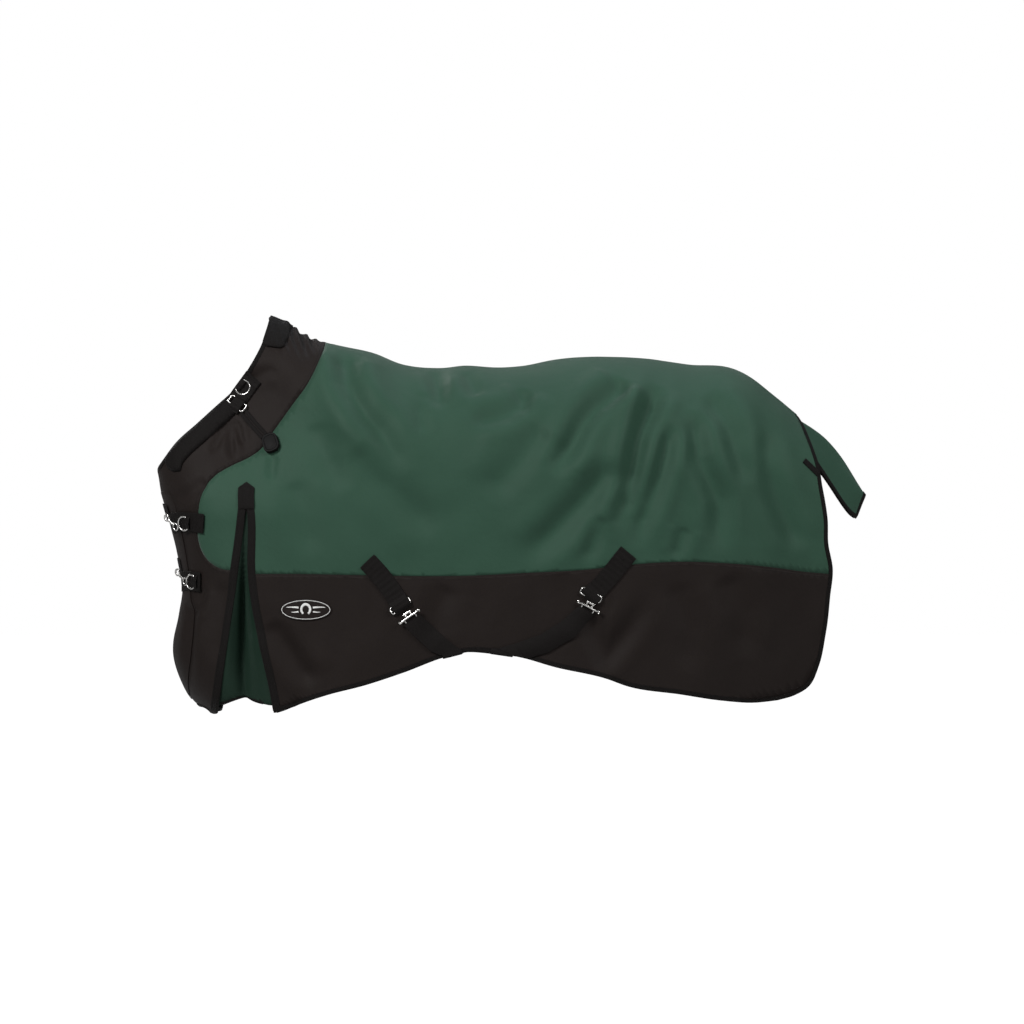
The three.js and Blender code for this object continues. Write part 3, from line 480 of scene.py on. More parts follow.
# %% [markdown]
# ## Making a mesh and a material slot
#
# Each piece is one closed mesh with its place in its points, so that its object stays at the origin.
# Sheets get their thickness from the Solidify modifier, which puts the inner face behind the outer one
# and closes the rim. The lining is the inner face's own material.


# %% Mesh helpers
def deselect():
    for o in bpy.context.selected_objects:
        o.select_set(False)


def only(obj):
    deselect()
    obj.select_set(True)
    bpy.context.view_layer.objects.active = obj


def mesh_piece(name, points, faces, uv=None, materials=()):
    """A piece from its points and faces. uv gives each point's place on the cloth, in metres."""
    mesh = bpy.data.meshes.new(name)
    mesh.from_pydata([tuple(p) for p in points], [], faces)
    obj = bpy.data.objects.new(name, mesh)
    bpy.context.scene.collection.objects.link(obj)
    for material in materials:
        mesh.materials.append(material)
    if uv is not None:
        layer = mesh.uv_layers.new(name="cloth")
        corner = np.empty(len(mesh.loops), dtype=np.int32)
        mesh.loops.foreach_get("vertex_index", corner)
        layer.data.foreach_set("uv", np.asarray(uv, dtype=np.float32)[corner].ravel())
    mesh.shade_smooth()
    return obj


def apply(obj, kind, **settings):
    only(obj)
    modifier = obj.modifiers.new(kind.lower(), kind)
    for key, value in settings.items():
        setattr(modifier, key, value)
    bpy.ops.object.modifier_apply(modifier=modifier.name)


def thicken(obj, thick, lined=False):
    """Gives a sheet its thickness, inwards from its outer face."""
    apply(obj, "SOLIDIFY", thickness=thick * MM, offset=-1.0, use_rim=True, use_even_offset=False,
          material_offset=1 if lined else 0, material_offset_rim=0)


def soften(obj, degrees=40):
    only(obj)
    bpy.ops.object.shade_smooth_by_angle(angle=math.radians(degrees))


def on_cloth(name, outline, cell, lift, thick, materials, lined=False, height=None):
    """A sheet cut to an outline given on the cloth, laid `lift` mm outside it. height adds a crown."""
    flat, faces, edge = fill(outline, cell)
    raised = lift if height is None else lift + height(flat, edge)
    points = skin(flat[:, 0], flat[:, 1], raised)
    obj = mesh_piece(name, points, faces, flat * MM, materials)
    thicken(obj, thick, lined)
    return obj


def finish_piece(obj, slot, *nodes):
    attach(obj, "root")
    if nodes:
        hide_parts(*nodes)


# %% [markdown]
# ## Shader maths as expressions
#
# A material's bumps and tints are sums and products of waves and noises. Writing them as node links is
# long and hard to read. This small class lets a socket be used in an ordinary expression, and each
# operator adds its Math node.


# %% Expressions on sockets
class Val:
    """A value in a node tree that can be added, multiplied and so on."""

    def __init__(self, tree, socket):
        self.tree, self.socket = tree, socket

    def math(self, operation, *others):
        node = self.tree.nodes.new("ShaderNodeMath")
        node.operation = operation
        for slot, value in zip(node.inputs, (self, *others)):
            if isinstance(value, Val):
                self.tree.links.new(value.socket, slot)
            else:
                slot.default_value = float(value)
        return Val(self.tree, node.outputs[0])

    def __add__(self, other):
        return self.math("ADD", other)

    __radd__ = __add__

    def __mul__(self, other):
        return self.math("MULTIPLY", other)

    __rmul__ = __mul__

    def __sub__(self, other):
        return self.math("SUBTRACT", other)

    def __rsub__(self, other):
        return (self * -1.0) + other

    def __truediv__(self, other):
        return self.math("DIVIDE", other)

    def sine(self):
        return self.math("SINE")

    def clip(self):
        return self.math("MAXIMUM", 0.0).math("MINIMUM", 1.0)

    def size(self):
        return self.math("ABSOLUTE")


class Finish:
    """One material with its Principled shader, and short ways to add nodes to it."""

    def __init__(self, name, colour, roughness, **constants):
        self.material = bpy.data.materials.new(name)
        self.material.use_nodes = True
        self.tree = self.material.node_tree
        self.shader = self.tree.nodes["Principled BSDF"]
        self.set("Base Color", (*colour, 1.0))
        self.set("Roughness", roughness)
        for key, value in constants.items():
            self.set(key.replace("_", " "), value)

    def set(self, socket, value):
        slot = self.shader.inputs[socket]
        if isinstance(value, Val):
            self.tree.links.new(value.socket, slot)
        else:
            slot.default_value = value

    def node(self, kind, settings=None, **values):
        node = self.tree.nodes.new(kind)
        for key, value in (settings or {}).items():
            setattr(node, key, value)
        for key, value in values.items():
            slot = node.inputs[key.replace("_", " ")]
            if isinstance(value, Val):
                self.tree.links.new(value.socket, slot)
            else:
                slot.default_value = value
        return node

    def out(self, node, name=0):
        return Val(self.tree, node.outputs[name])

    def place(self, kind="UV"):
        return self.out(self.node("ShaderNodeTexCoord"), kind)

    def parts(self, vector):
        node = self.node("ShaderNodeSeparateXYZ", Vector=vector)
        return [self.out(node, k) for k in range(3)]

    def noise(self, where, size, detail=2.0, rough=0.5, stretch=None):
        """A soft noise from 0 to 1 whose blotches are about `size` metres."""
        if stretch is not None:
            where = self.out(self.node("ShaderNodeMapping", Vector=where, Scale=stretch))
        node = self.node("ShaderNodeTexNoise", Vector=where, Scale=1.0 / size, Detail=detail, Roughness=rough)
        return self.out(node, "Fac" if "Fac" in node.outputs else "Factor")

    def tint(self, low, high, factor):
        """A colour between two, by a factor from 0 to 1."""
        node = self.node("ShaderNodeMix", {"data_type": "RGBA"})
        self.tree.links.new(factor.socket, node.inputs["Factor"])
        node.inputs["A"].default_value = (*low, 1.0)
        node.inputs["B"].default_value = (*high, 1.0)
        return Val(self.tree, next(o for o in node.outputs if o.type == "RGBA"))

    def bump(self, height, distance, strength=1.0, under=None):
        values = {"Height": height, "Distance": distance, "Strength": strength}
        if under is not None:
            values["Normal"] = under
        return self.out(self.node("ShaderNodeBump", **values))


TAU = 2 * math.pi


def woven(finish, where, pitch):
    """A plain weave: warp and weft take turns on top. The value runs from 0 to 1."""
    u, v, _ = finish.parts(where)
    warp, weft = (u * (TAU / pitch)).sine(), (v * (TAU / pitch)).sine()
    return warp * weft * 0.5 + 0.5


# %% [markdown]
# ## Coated nylon for the panels
#
# The panels are heavy coated nylon in a coarse plain weave. The coating gives it a faint bloom, so
# folds catch a soft pale light instead of a sharp shine. The weave, a fine crinkle from folding and a
# slow drift of tone are all in the cloth's own coordinates.


# %% The cloth finishes
def coated_cloth(name, dark, light, rough=0.62, sheen=0.05, pitch=0.0016, crinkle=0.0011):
    f = Finish(name, dark, rough, **{"Sheen Weight": sheen, "Sheen Roughness": 0.45,
                                     "Specular IOR Level": 0.12})
    uv = f.place("UV")
    weave = woven(f, uv, pitch)
    drift = f.noise(uv, 0.16, 3.0, 0.55)
    slub = f.noise(uv, 0.0035, 2.0, 0.5, stretch=(1.0, 0.22, 1.0))
    crumple = f.noise(uv, 0.03, 4.0, 0.6)
    tone = (drift * 0.9 + slub * 0.35 + weave * 0.25 - 0.25).clip()
    f.set("Base Color", f.tint(dark, light, tone))
    f.set("Roughness", (drift * 0.14 + slub * 0.1 + (rough - 0.12)))
    rough_bump = f.bump(crumple, crinkle, 0.8)
    f.set("Normal", f.bump(weave * 0.75 + slub * 0.5, 0.00022, 0.7, rough_bump))
    return f.material


GREEN = coated_cloth("green_nylon", (0.0175, 0.046, 0.0295), (0.0225, 0.058, 0.0375))
# A darker copy of the green with no sheen: painted shade for the inserts that sit deep in the slits.
PAINTED_SHADE_GREEN = coated_cloth("green_nylon_painted_shade", (0.0062, 0.0165, 0.0105), (0.0085, 0.0215, 0.0140), 0.7, 0.0)
BLACK = coated_cloth("black_nylon", (0.0070, 0.0046, 0.0038), (0.0102, 0.0070, 0.0060), 0.66, 0.012)
LINING = coated_cloth("lining_taffeta", (0.011, 0.011, 0.0115), (0.016, 0.016, 0.0165),
                      0.48, 0.1, 0.0007, 0.0006)


def ribbed_tape(name, dark, light, pitch, rough=0.72, sheen=0.008):
    """Webbing and binding: ribs cross the strap, and each edge has a close selvedge."""
    f = Finish(name, dark, rough, **{"Sheen Weight": sheen, "Sheen Roughness": 0.4,
                                     "Specular IOR Level": 0.1})
    uv = f.place("UV")
    u, v, _ = f.parts(uv)
    zigzag = ((v * (TAU / (5.5 * pitch))).sine() * pitch * 0.5 + u)
    rib = (zigzag * (TAU / pitch)).sine() * 0.5 + 0.5
    cord = (v * (TAU / (0.55 * pitch))).sine() * 0.5 + 0.5
    wear = f.noise(uv, 0.045, 3.0, 0.6)
    f.set("Base Color", f.tint(dark, light, (rib * 0.35 + cord * 0.2 + wear * 0.5 - 0.05).clip()))
    f.set("Roughness", wear * 0.16 + (rough - 0.08))
    f.set("Normal", f.bump(rib * 0.65 + cord * 0.35, 0.00035, 0.8, f.bump(wear, 0.0008, 0.5)))
    return f.material


WEBBING = ribbed_tape("webbing_black", (0.0034, 0.0027, 0.0025), (0.0062, 0.0050, 0.0047), 0.0026)
BINDING = ribbed_tape("binding_black", (0.0032, 0.0026, 0.0024), (0.0056, 0.0046, 0.0043), 0.0016)
print("cloth finishes:", GREEN.name, BLACK.name, LINING.name, WEBBING.name, BINDING.name)

# %% [markdown]
# ## The green shell
#
# The upper shell is one piece of cloth. It goes over the back from one side to the other, between the
# collar seam in front, the skirt seam below and the rear edge. Its front corner is cut away on both
# sides of the shoulder slit. The pattern's near half is drawn and the off half is its mirror image.

# %% Upper shell


def under_top(line):
    """The part of a side-view line that is on the cloth, ending exactly on the back."""
    line = np.asarray(line, float)
    line = line[line[:, 1] <= top_at(line[:, 0])]
    if line[0, 1] > line[-1, 1]:
        return np.vstack([[line[0, 0], top_at(line[0, 0])], line])
    return np.vstack([line, [line[-1, 0], top_at(line[-1, 0])]])


def both_sides(line):
    """A side-view line from the back round to the back again, closed over both sides."""
    near, off = cloth_line(line, -1), cloth_line(line, 1)
    return spread(np.vstack([near, off[::-1][1:-1]]), 7.0)


slit_up = before(slit_front, -531)[::-1]
slit_down = before(slit_rear, -540)
upper_line = np.vstack([
    under_top(yoke[:-1]), slit_up, slit_down[1:], skirt_seam[1:-1], under_top(rear_high)])
upper_outline = both_sides(upper_line)
upper = on_cloth("upper_cloth", upper_outline, CELL, 0.0, CLOTH, [GREEN, LINING], lined=True)
finish_piece(upper, "green_cloth", "upper_shell")

# %% [markdown]
# ## The dark collar and chest, and the two skirts
#
# The collar and chest are cut as one panel, which meets itself at the breast. The skirts hang from the
# seam below the shell, one on each side, and are free along their hems. The collar's lattice is finer
# because the elastic at its crest puckers it.

# %% Collar, chest and skirts
neck_line = under_top(neck_edge[neck_edge[:, 0] > breast_at(neck_edge[:, 1]) + 1])
chest_line = np.vstack([
    under_top(yoke), after(slit_front, -533), front_hem[::-1][1:], breast_edge[1:-1], neck_line[::-1]])
chest_outline = both_sides(chest_line)
chest = on_cloth("collar_and_chest", chest_outline, CELL * 0.75, 0.0, CLOTH, [BLACK, LINING], lined=True)
finish_piece(chest, "black_cloth", "neck_chest_panel")

skirt_line = np.vstack([
    after(slit_rear, -540), hem[1:], rear_low[1:], skirt_seam[::-1][:-1]])
skirts, skirt_outline = [], {}
for side, word in ((-1, "near"), (1, "off")):
    skirt_outline[side] = spread(cloth_line(skirt_line, side), 7.0)
    skirt = on_cloth(f"skirt_{word}", skirt_outline[side], CELL, 0.0, CLOTH, [BLACK, LINING], lined=True)
    finish_piece(skirt, "black_cloth", f"lower_panel_{word}")
    skirts.append(skirt)

# %% [markdown]
# ## Sweeping a section along the cloth
#
# Binding tape and webbing are long and narrow. Both are made by carrying a small section along a line
# that is drawn on the cloth. Every point of the section is placed on the worn surface by itself, so a
# wide strap bends over a fold just as the cloth under it does.

# %% Sections carried along a line


def closed_tube(name, rows, uv_along, uv_across, materials):
    """A closed solid from rows of section points, each row a loop. The first row and last are capped."""
    count, loop = rows.shape[:2]
    index = np.arange(count * loop).reshape(count, loop)
    faces = []
    for i in range(count - 1):
        here, onward = index[i], index[i + 1]
        for k in range(loop):
            m = (k + 1) % loop
            faces.append((here[k], onward[k], onward[m], here[m]))
    faces += [tuple(index[0]), tuple(index[-1][::-1])]
    uv = np.stack(np.broadcast_arrays(np.asarray(uv_along)[:, None], np.asarray(uv_across)[None, :]), -1)
    obj = mesh_piece(name, rows.reshape(-1, 3), [[int(v) for v in f] for f in faces],
                     uv.reshape(-1, 2), materials)
    only(obj)
    bpy.ops.object.mode_set(mode="EDIT")
    bpy.ops.mesh.select_all(action="SELECT")
    bpy.ops.mesh.normals_make_consistent(inside=False)
    bpy.ops.object.mode_set(mode="OBJECT")
    soften(obj, 50)
    return obj


def square_to(line, tangent):
    """At each point of a line on the cloth, the step to its left that is 1 mm long on the worn cloth."""
    a, d = line[:, 0], line[:, 1]
    by_a = (smooth_face(a + 1, d)[0] - smooth_face(a - 1, d)[0]) / 2
    by_d = (smooth_face(a, d + 1)[0] - smooth_face(a, d - 1)[0]) / 2
    aa, ad, dd = (by_a * by_a).sum(1), (by_a * by_d).sum(1), (by_d * by_d).sum(1)
    left = np.stack([-(ad * tangent[:, 0] + dd * tangent[:, 1]), aa * tangent[:, 0] + ad * tangent[:, 1]], 1)
    long = np.sqrt(aa * left[:, 0] ** 2 + 2 * ad * left[:, 0] * left[:, 1] + dd * left[:, 1] ** 2)
    return left / np.maximum(long, 1e-9)[:, None]


def arc_lengths(points):
    return np.concatenate([[0.0], np.cumsum(np.linalg.norm(np.diff(points, axis=0), axis=1))])


def offset(line, by):
    """A side-view line moved sideways, to the left of its direction."""
    tangent = np.gradient(line, axis=0)
    tangent /= np.linalg.norm(tangent, axis=1, keepdims=True)
    return line + by * np.stack([-tangent[:, 1], tangent[:, 0]], axis=1)


def cloth_sweep(name, line, section, materials, inside=1.0, lift=None, drawn_on=None):
    """Carries a section along a line. A section point is (into the cloth, out), in mm.

    The line is one on the cloth, or one of the side view, drawn on the side that drawn_on names.
    """
    line = np.asarray(line, float)
    section = np.asarray(section, float)
    if drawn_on is None:
        inward = square_to(line, np.gradient(line, axis=0)) * inside
        at = line[:, None, :] + inward[:, None, :] * section[None, :, :1]
    else:
        at = np.stack([cloth_line(offset(line, inside * u), drawn_on) for u in section[:, 0]], axis=1)
        line = cloth_line(line, drawn_on)
    s = arc_lengths(skin(line[:, 0], line[:, 1])) / MM
    pucker = 1.0 + 0.10 * np.sin(s / 2.3 + 0.8 * np.sin(s / 31.0))
    out = section[None, :, 1] * pucker[:, None]
    if lift is not None:
        out = out + lift(line, s)[:, None]
    rows = skin(at[..., 0], at[..., 1], out)
    return closed_tube(name, rows, s * MM, arc_lengths(section) * MM, materials)


# The tape is folded round the edge, so its section is a narrow U. v = 0 is the cloth's outer face.
def fold_over(width, middle=-CLOTH / 2, room=1.75, thick=0.95):
    h, t = room, room + thick
    outer = [(width, t * 0.93), (width * 0.55, t), (1.4, t), (-0.6, t * 0.72), (-1.3, 0.0)]
    inner = [(width, h), (1.3, h), (0.3, 0.0), (1.3, -h), (width, -h)]
    loop = outer + [(u, -v) for u, v in outer[-2::-1]] + inner[::-1]
    return [(u, v + middle) for u, v in loop]


# %% [markdown]
# ## Bound edges
#
# Every raw edge is bound in narrow black tape. The hem, the rear edge, the collar's edge, the front hem
# and the two sides of each shoulder slit all have it. The slit's tapes are wider, and they meet under a
# small five-sided cap.

# %% Binding
bindings = {-1: [], 1: []}
for side, word in ((-1, "near"), (1, "off")):
    turn = 1.0 if side < 0 else -1.0
    low_edge = np.vstack([hem[1:], rear_low[1:]])
    jobs = [
        (f"hem_tape_{word}", low_edge, fold_over(TAPE + 1), 1.0, f"hem_binding_{word}"),
        (f"rear_tape_{word}", np.vstack([rear_low[-1:], rear_high[:-1]]), fold_over(TAPE + 1), 1.0,
         f"rear_binding_{word}"),
        (f"collar_tape_{word}", under_top(neck_edge[neck_edge[:, 0] > breast_at(neck_edge[:, 1]) + 6]),
         fold_over(TAPE + 1), 1.0, f"neck_binding_{word}"),
        (f"front_hem_tape_{word}", front_hem[1:-3], fold_over(TAPE + 1), 1.0, f"front_hem_binding_{word}"),
    ]
    for name, line, section, inside, node in jobs:
        path = spread(cloth_line(line, side), 5.0)
        tape = cloth_sweep(name, path, section, [BINDING], inside * turn)
        finish_piece(tape, "edge_tape", node)
        bindings[side].append(tape)

    wide = fold_over(SLIT_TAPE, thick=1.05)
    for which, line, inside in (("front", slit_front, -1.0), ("rear", slit_rear, 1.0)):
        tape = cloth_sweep(f"slit_tape_{which}_{word}", spread(line[1:-1], 5.0), wide, [BINDING], inside,
                           drawn_on=side)
        finish_piece(tape, "edge_tape", f"gusset_binding_{word}")
        bindings[side].append(tape)
print("bindings:", sum(len(v) for v in bindings.values()))

# %% [markdown]
# ## The pleated insert behind each slit
# A pleated piece of green cloth closes the slit and lets the shoulder stride forward. It is sewn behind
# the slit's tapes and folds inwards along its middle, deeper towards the hem. Its own hem is bound.
# Its green is a darker copy of the shell's green with no sheen: painted shade for the recess.

# %% Shoulder inserts
TUCK = 13.0
BEHIND = CLOTH + 1.9


def x_on(line, z):
    order = np.argsort(line[:, 1])
    return np.interp(z, line[order, 1], line[order, 0])


def pleat_depth(x, z):
    front, rear = x_on(slit_front, z), x_on(slit_rear, z)
    across = np.clip((x - front) / np.maximum(rear - front, 1.0), 0, 1)
    open_ = ease((-420 - z) / 260)
    main = np.sin(math.pi * across) ** 1.3
    fold = 0.30 * np.exp(-(((across - 0.36) / 0.09) ** 2)) - 0.22 * np.exp(-(((across - 0.60) / 0.10) ** 2))
    return GUSSET_DEPTH * open_ * (main + fold) + 3.0 * open_ * np.sin(3.1 * math.pi * across + z / 90.0)


def behind_slit(line, run=None):
    face = smooth_face(line[:, 0], line[:, 1])[0]
    return -BEHIND - pleat_depth(face[:, 0], face[:, 2])


INSERT_CLOTH = CLOTH - 1.5      # the pleat piece is thinner than the shell
gusset_hem = curve(GUSSET_HEM[1:-1])
insert_line = np.vstack([
    offset(before(after(slit_front, -380), -880), -TUCK), gusset_hem,
    offset(before(after(slit_rear, -380), -880), TUCK)[::-1]])
inserts, insert_outline = [], {}
for side, word in ((-1, "near"), (1, "off")):
    insert_outline[side] = spread(cloth_line(insert_line, side), 6.0)
    insert = on_cloth(f"slit_insert_{word}", insert_outline[side], CELL * 0.7, 0.0, INSERT_CLOTH,
                      [PAINTED_SHADE_GREEN, LINING], lined=True, height=lambda flat, edge: behind_slit(flat))
    finish_piece(insert, "green_cloth", f"gusset_insert_{word}")
    inserts.append(insert)
    path = spread(cloth_line(gusset_hem, side), 5.0)
    tape = cloth_sweep(f"insert_tape_{word}", path, fold_over(TAPE, middle=-INSERT_CLOTH / 2, room=1.7),
                       [BINDING], 1.0 if side < 0 else -1.0, lift=behind_slit)
    finish_piece(tape, "edge_tape", f"gusset_hem_{word}")
    bindings[side].append(tape)

# %% [markdown]
# ## Small sewn pieces
#
# The cap over each slit's point, the bar tack of the rear dart, and the band over the crest are pieces
# cut to shape and laid on the cloth. Each is crowned a little in its middle, because several layers lie
# under it, and it falls to a thin edge where it is stitched down.

# %% Crowned pieces


def crown(rise, margin):
    """A height that grows from 0 at a piece's edge to `rise` at `margin` mm inside it."""
    def height(flat, edge):
        rim = flat[:edge]
        inside = np.full(len(flat), 1e9)
        for start in range(0, len(flat), 4000):
            p = flat[start:start + 4000]
            gap = np.hypot(p[:, :1] - rim[:, 0], p[:, 1:] - rim[:, 1]).min(1)
            inside[start:start + 4000] = gap
        return rise * (1 - (1 - np.clip(inside / margin, 0, 1)) ** 2)
    return height


def laid_piece(name, line, side, lift, thick, material, slot, nodes, rise=0.6, margin=6.0, cell=4.0,
               height=None):
    """A flat piece cut to a side-view outline and laid on one side of the blanket."""
    outline = spread(cloth_line(line, side), 3.5)
    obj = on_cloth(name, outline, cell, lift + thick, thick, [material], height=height or crown(rise, margin))
    soften(obj, 50)
    finish_piece(obj, slot, *nodes)
    return obj, outline


def loop_of(points):
    return np.array(list(points) + [points[0]], float)


CAP = loop_of([(-641, -303), (-620, -318), (-620, -372), (-662, -372), (-662, -318)])
DART = [(797, -248), (835, -283)]
small_pieces = {-1: [], 1: []}
for side, word in ((-1, "near"), (1, "off")):
    cap, cap_outline = laid_piece(f"slit_cap_{word}", CAP, side, 2.2, 1.6, BINDING, "edge_tape",
                                  [f"gusset_cap_{word}"], rise=1.2)
    small_pieces[side].append(cap)
    dart_path = spread(cloth_line(curve(DART), side), 3.0)
    tab_section = [(-8, 1.6), (-8, 3.2), (-6.5, 4.1), (0, 4.5), (6.5, 4.1), (8, 3.2), (8, 1.6), (0, 1.6)]
    dart = cloth_sweep(f"rear_dart_tab_{word}", dart_path, tab_section, [BINDING])
    finish_piece(dart, "webbing", f"rear_dart_{word}")
    small_pieces[side].append(dart)

CREST = [(-586, 170), (-587, 130), (-593, 100), (-604, 60), (-596, 49), (-560, 44), (-548, 47), (-540, 66),
         (-528, 104), (-526, 170)]
crest_line = under_top(spread(CREST, 4.0))
crest_line = np.vstack([crest_line, [crest_line[-1, 0], top_at(crest_line[-1, 0])]])
crest_outline = both_sides(crest_line)


def crest_height(flat, edge):
    puckers = np.sin(flat[:, 0] / 2.6) * 0.35
    return crown(2.2, 12.0)(flat, edge) + puckers


crest = on_cloth("crest_cover", crest_outline, 4.5, 4.6, 2.2, [BINDING], height=crest_height)
finish_piece(crest, "elastic", "crest_band")
print("crest cover:", len(crest.data.polygons), "faces")

# %% [markdown]
# ## The padded collar
#
# A long soft pad is sewn round each side of the collar, where the horse's neck rubs. It is stuffed, so
# it is a crowned closed form. It is low where it is sewn down, and full along its middle.

# %% Neck pads
PAD_LINE = curve([(-697, -80), (-715, -98), (-773, -150), (-831, -203), (-850, -226)], 5.0)
PAD_END = [(-856, -246), (-848, -266), (-832, -276), (-814, -274)]
PAD_WIDTH = 50.0
PAD_BACK_END = -808             # the back edge stops here, where the rounded end takes over
pad_front, pad_back = offset(PAD_LINE, 2.0), offset(PAD_LINE, PAD_WIDTH)[::-1]
pad_loop = np.vstack([pad_front, PAD_END, pad_back[pad_back[:, 0] > PAD_BACK_END], pad_front[:1]])
pads = []
for side, word in ((-1, "near"), (1, "off")):
    outline = spread(cloth_line(pad_loop, side), 4.0)

    def pad_height(flat, edge):
        lumps = 0.8 * np.sin(flat[:, 0] / 21.0) * np.sin(flat[:, 1] / 26.0)
        full = crown(1.0, 17.0)(flat, edge)
        return 7.0 * full ** 0.8 + lumps * full

    pad = on_cloth(f"collar_pad_{word}", outline, 5.0, 3.2, 1.6, [BINDING], height=pad_height)
    finish_piece(pad, "pad_cloth", f"neck_pad_{word}")
    pads.append(pad)

# %% [markdown]
# ## The overlapping front
#
# The near side of the chest laps over the off side and closes with two straps. Only the lapped layer's
# edge can be seen as a fine line down the chest, so it is one more sheet laid over the first.

# %% Front overlap
overlap_edge = curve([(-846, -326), (-832, -352), (-820, -400), (-806, -470), (-790, -560), (-781, -655),
                      (-792, -743), (-798, -812), (-795, -866)], 5.0)
overlap_z = np.arange(-866, -326, 7.0)
overlap_front = np.stack([breast_at(overlap_z) - 2, overlap_z], axis=1)
seen_edge = overlap_edge[overlap_edge[:, 0] > breast_at(overlap_edge[:, 1]) + 1.5]
overlap_line = np.vstack([seen_edge, overlap_front])


def lap_height(flat, edge):
    z = smooth_face(flat[:, 0], flat[:, 1])[0][:, 2]
    return crown(0.5, 4.0)(flat, edge) - 1.7 * ease((z + 440.0) / 50.0)


overlap, overlap_outline = laid_piece(
    "front_lap", overlap_line, -1, 0.4, 1.9, BLACK, "black_cloth", ["front_overlap"], cell=7.0,
    height=lap_height)

# %% [markdown]
# ## Webbing sewn to the blanket
#
# The tabs that hold the rings, and the runs of belly webbing on the off side, are 50 mm webbing. A strap
# has a flat middle and thin rounded edges. Where its end is turned under and sewn, it is twice as thick.

# %% Flat webbing
WEB = 2.4
WEB_HALF = 26.0


def strap_section(half, low, thick):
    """The section of a flat strap that lies `low` mm above the cloth."""
    t, e = low + thick, low + thick * 0.45
    return [(half - 3, low), (half, e), (half - 1.0, t - 0.25), (half - 4, t), (half * 0.33, t + 0.15),
            (-half * 0.33, t + 0.15), (-half + 4, t), (-half + 1.0, t - 0.25), (-half, e), (-half + 3, low)]


def over_ring(at, high, wide=7.0):
    """Lifts a strap over what it holds: `high` mm, `at` mm along the strap."""
    return lambda line, run: high * np.exp(-(((run - at) / wide) ** 4))


def webbing(name, line, side, half, low, nodes, slot="webbing", thick=WEB, step=4.0, lift=None):
    path = spread(cloth_line(np.asarray(line, float), side), step)
    obj = cloth_sweep(name, path, strap_section(half, low, thick), [WEBBING], lift=lift)
    finish_piece(obj, slot, *nodes)
    return obj, path


tabs = []
tab, _ = webbing("neck_tab_web", [(-624, -30), (-666, -86)], -1, 26.0, 2.0, ["neck_tab"], thick=3.6)
tabs.append(tab)
for i, (x0, x1, z0, z1) in enumerate([(-839, -751, -437, -384), (-811, -758, -590, -536)]):
    middle = (z0 + z1) / 2
    tab, _ = webbing(f"chest_tab_web_{i + 1}", [(x0 + 1, middle), (x1, middle)], -1, (z1 - z0) / 2 - 1, 2.8,
                     [f"chest_tab_{i + 1}"], thick=3.4)
    tabs.append(tab)
for i, (x, z) in enumerate([(-789, -408), (-769, -560)]):
    fold, _ = webbing(f"chest_tab_fold_{i + 1}", [(x, z + 17), (x, z - 17)], -1, 7.0, 6.2,
                      [f"chest_tab_{i + 1}"], thick=1.8, step=1.5, lift=over_ring(17.0, 5.0, 13.5))
    tabs.append(fold)
for end, line in (("front", [(-329, -506), (-233, -634)]), ("rear", [(344, -484), (236, -606)])):
    reach = math.dist(*line)
    tab, _ = webbing(f"belly_tab_web_{end}", line, -1, 25.5, 0.6, [f"belly_tab_{end}"], thick=3.6, step=2.5,
                     lift=over_ring(reach - 16.0, 7.0, 14.5))
    tabs.append(tab)
for end, line in (("front", [(-330, -505), (-240, -622), (-160, -690), (-112, -722)]),
                  ("rear", [(343, -484), (247, -600), (150, -672), (60, -712)])):
    tab, _ = webbing(f"belly_run_off_{end}", curve(line, 6.0), 1, WEB_HALF, 1.8, [f"belly_patch_{end}"])
    tabs.append(tab)
print("tabs and sewn runs:", len(tabs))

# %% [markdown]
# ## Straps round the breast
#
# Each breast strap comes from its hook on the near side, goes round the breast and is sewn to the off
# side. It crosses from one side's pattern to the other's, so its rows are placed on the near side first,
# then on the off side, and joined into one solid.

# %% Breast straps


def banded(name, near_from, off_to, z, half, low):
    """A strap at an even height, from a place on the near side round the breast to the off side."""
    rows, section = [], np.array(strap_section(half, low, WEB))
    steps = [(-1, s) for s in np.arange(near_from, 1.0, -3.5)] + [(1, s) for s in np.arange(2.0, off_to, 5.0)]
    for side, s in steps:
        height = z + section[:, 0]
        _, down = to_cloth(np.full(len(section), breast_at(z) + 60.0), height)
        rows.append(skin(np.full(len(section), s), side * down, section[:, 1]))
    rows = np.array(rows)
    s = arc_lengths(rows[:, 4])
    return closed_tube(name, rows, s, arc_lengths(section) * MM, [WEBBING])


straps = []
for i, (near_from, off_to, z) in enumerate([(76.0, 196.0, -406.0), (62.0, 190.0, -548.0)]):
    strap = banded(f"breast_strap_{i + 1}", near_from, off_to, z, 19.0, 3.2)
    finish_piece(strap, "webbing", f"chest_strap_{i + 1}")
    straps.append(strap)

# %% [markdown]
# ## Belly straps
#
# The two belly straps leave their hooks, run down the near skirt and turn under its hem. They cross
# below the horse and are sewn to the opposite ends of the off side. Each is a ribbon through stations
# that name its upper and lower edge, so it keeps its width as it turns.

# %% Belly straps
STRAP_STATIONS = {
    "front": [[(-196, -640), (-239, -668)], [(-166, -668), (-205, -702)], [(-128, -704), (-166, -738)],
              [(-84, -738), (-134, -752)]],
    "rear": [[(218, -620), (258, -641)], [(170, -662), (205, -702)], [(117, -695), (135, -742)],
             [(56, -717), (84, -757)], [(-12, -737), (46, -750)]]}
BELLY_RISE = {"front": 27, "rear": 6}
hem_at = smooth(HEM)


def side_point(x, z, side, lift):
    """The place on one side, in mm, at a point of the side view."""
    along, down = to_cloth(np.array([float(x)]), np.array([float(z)]))
    place = skin(along, side * down, lift)[0] / MM
    return np.array([x, place[1], z])


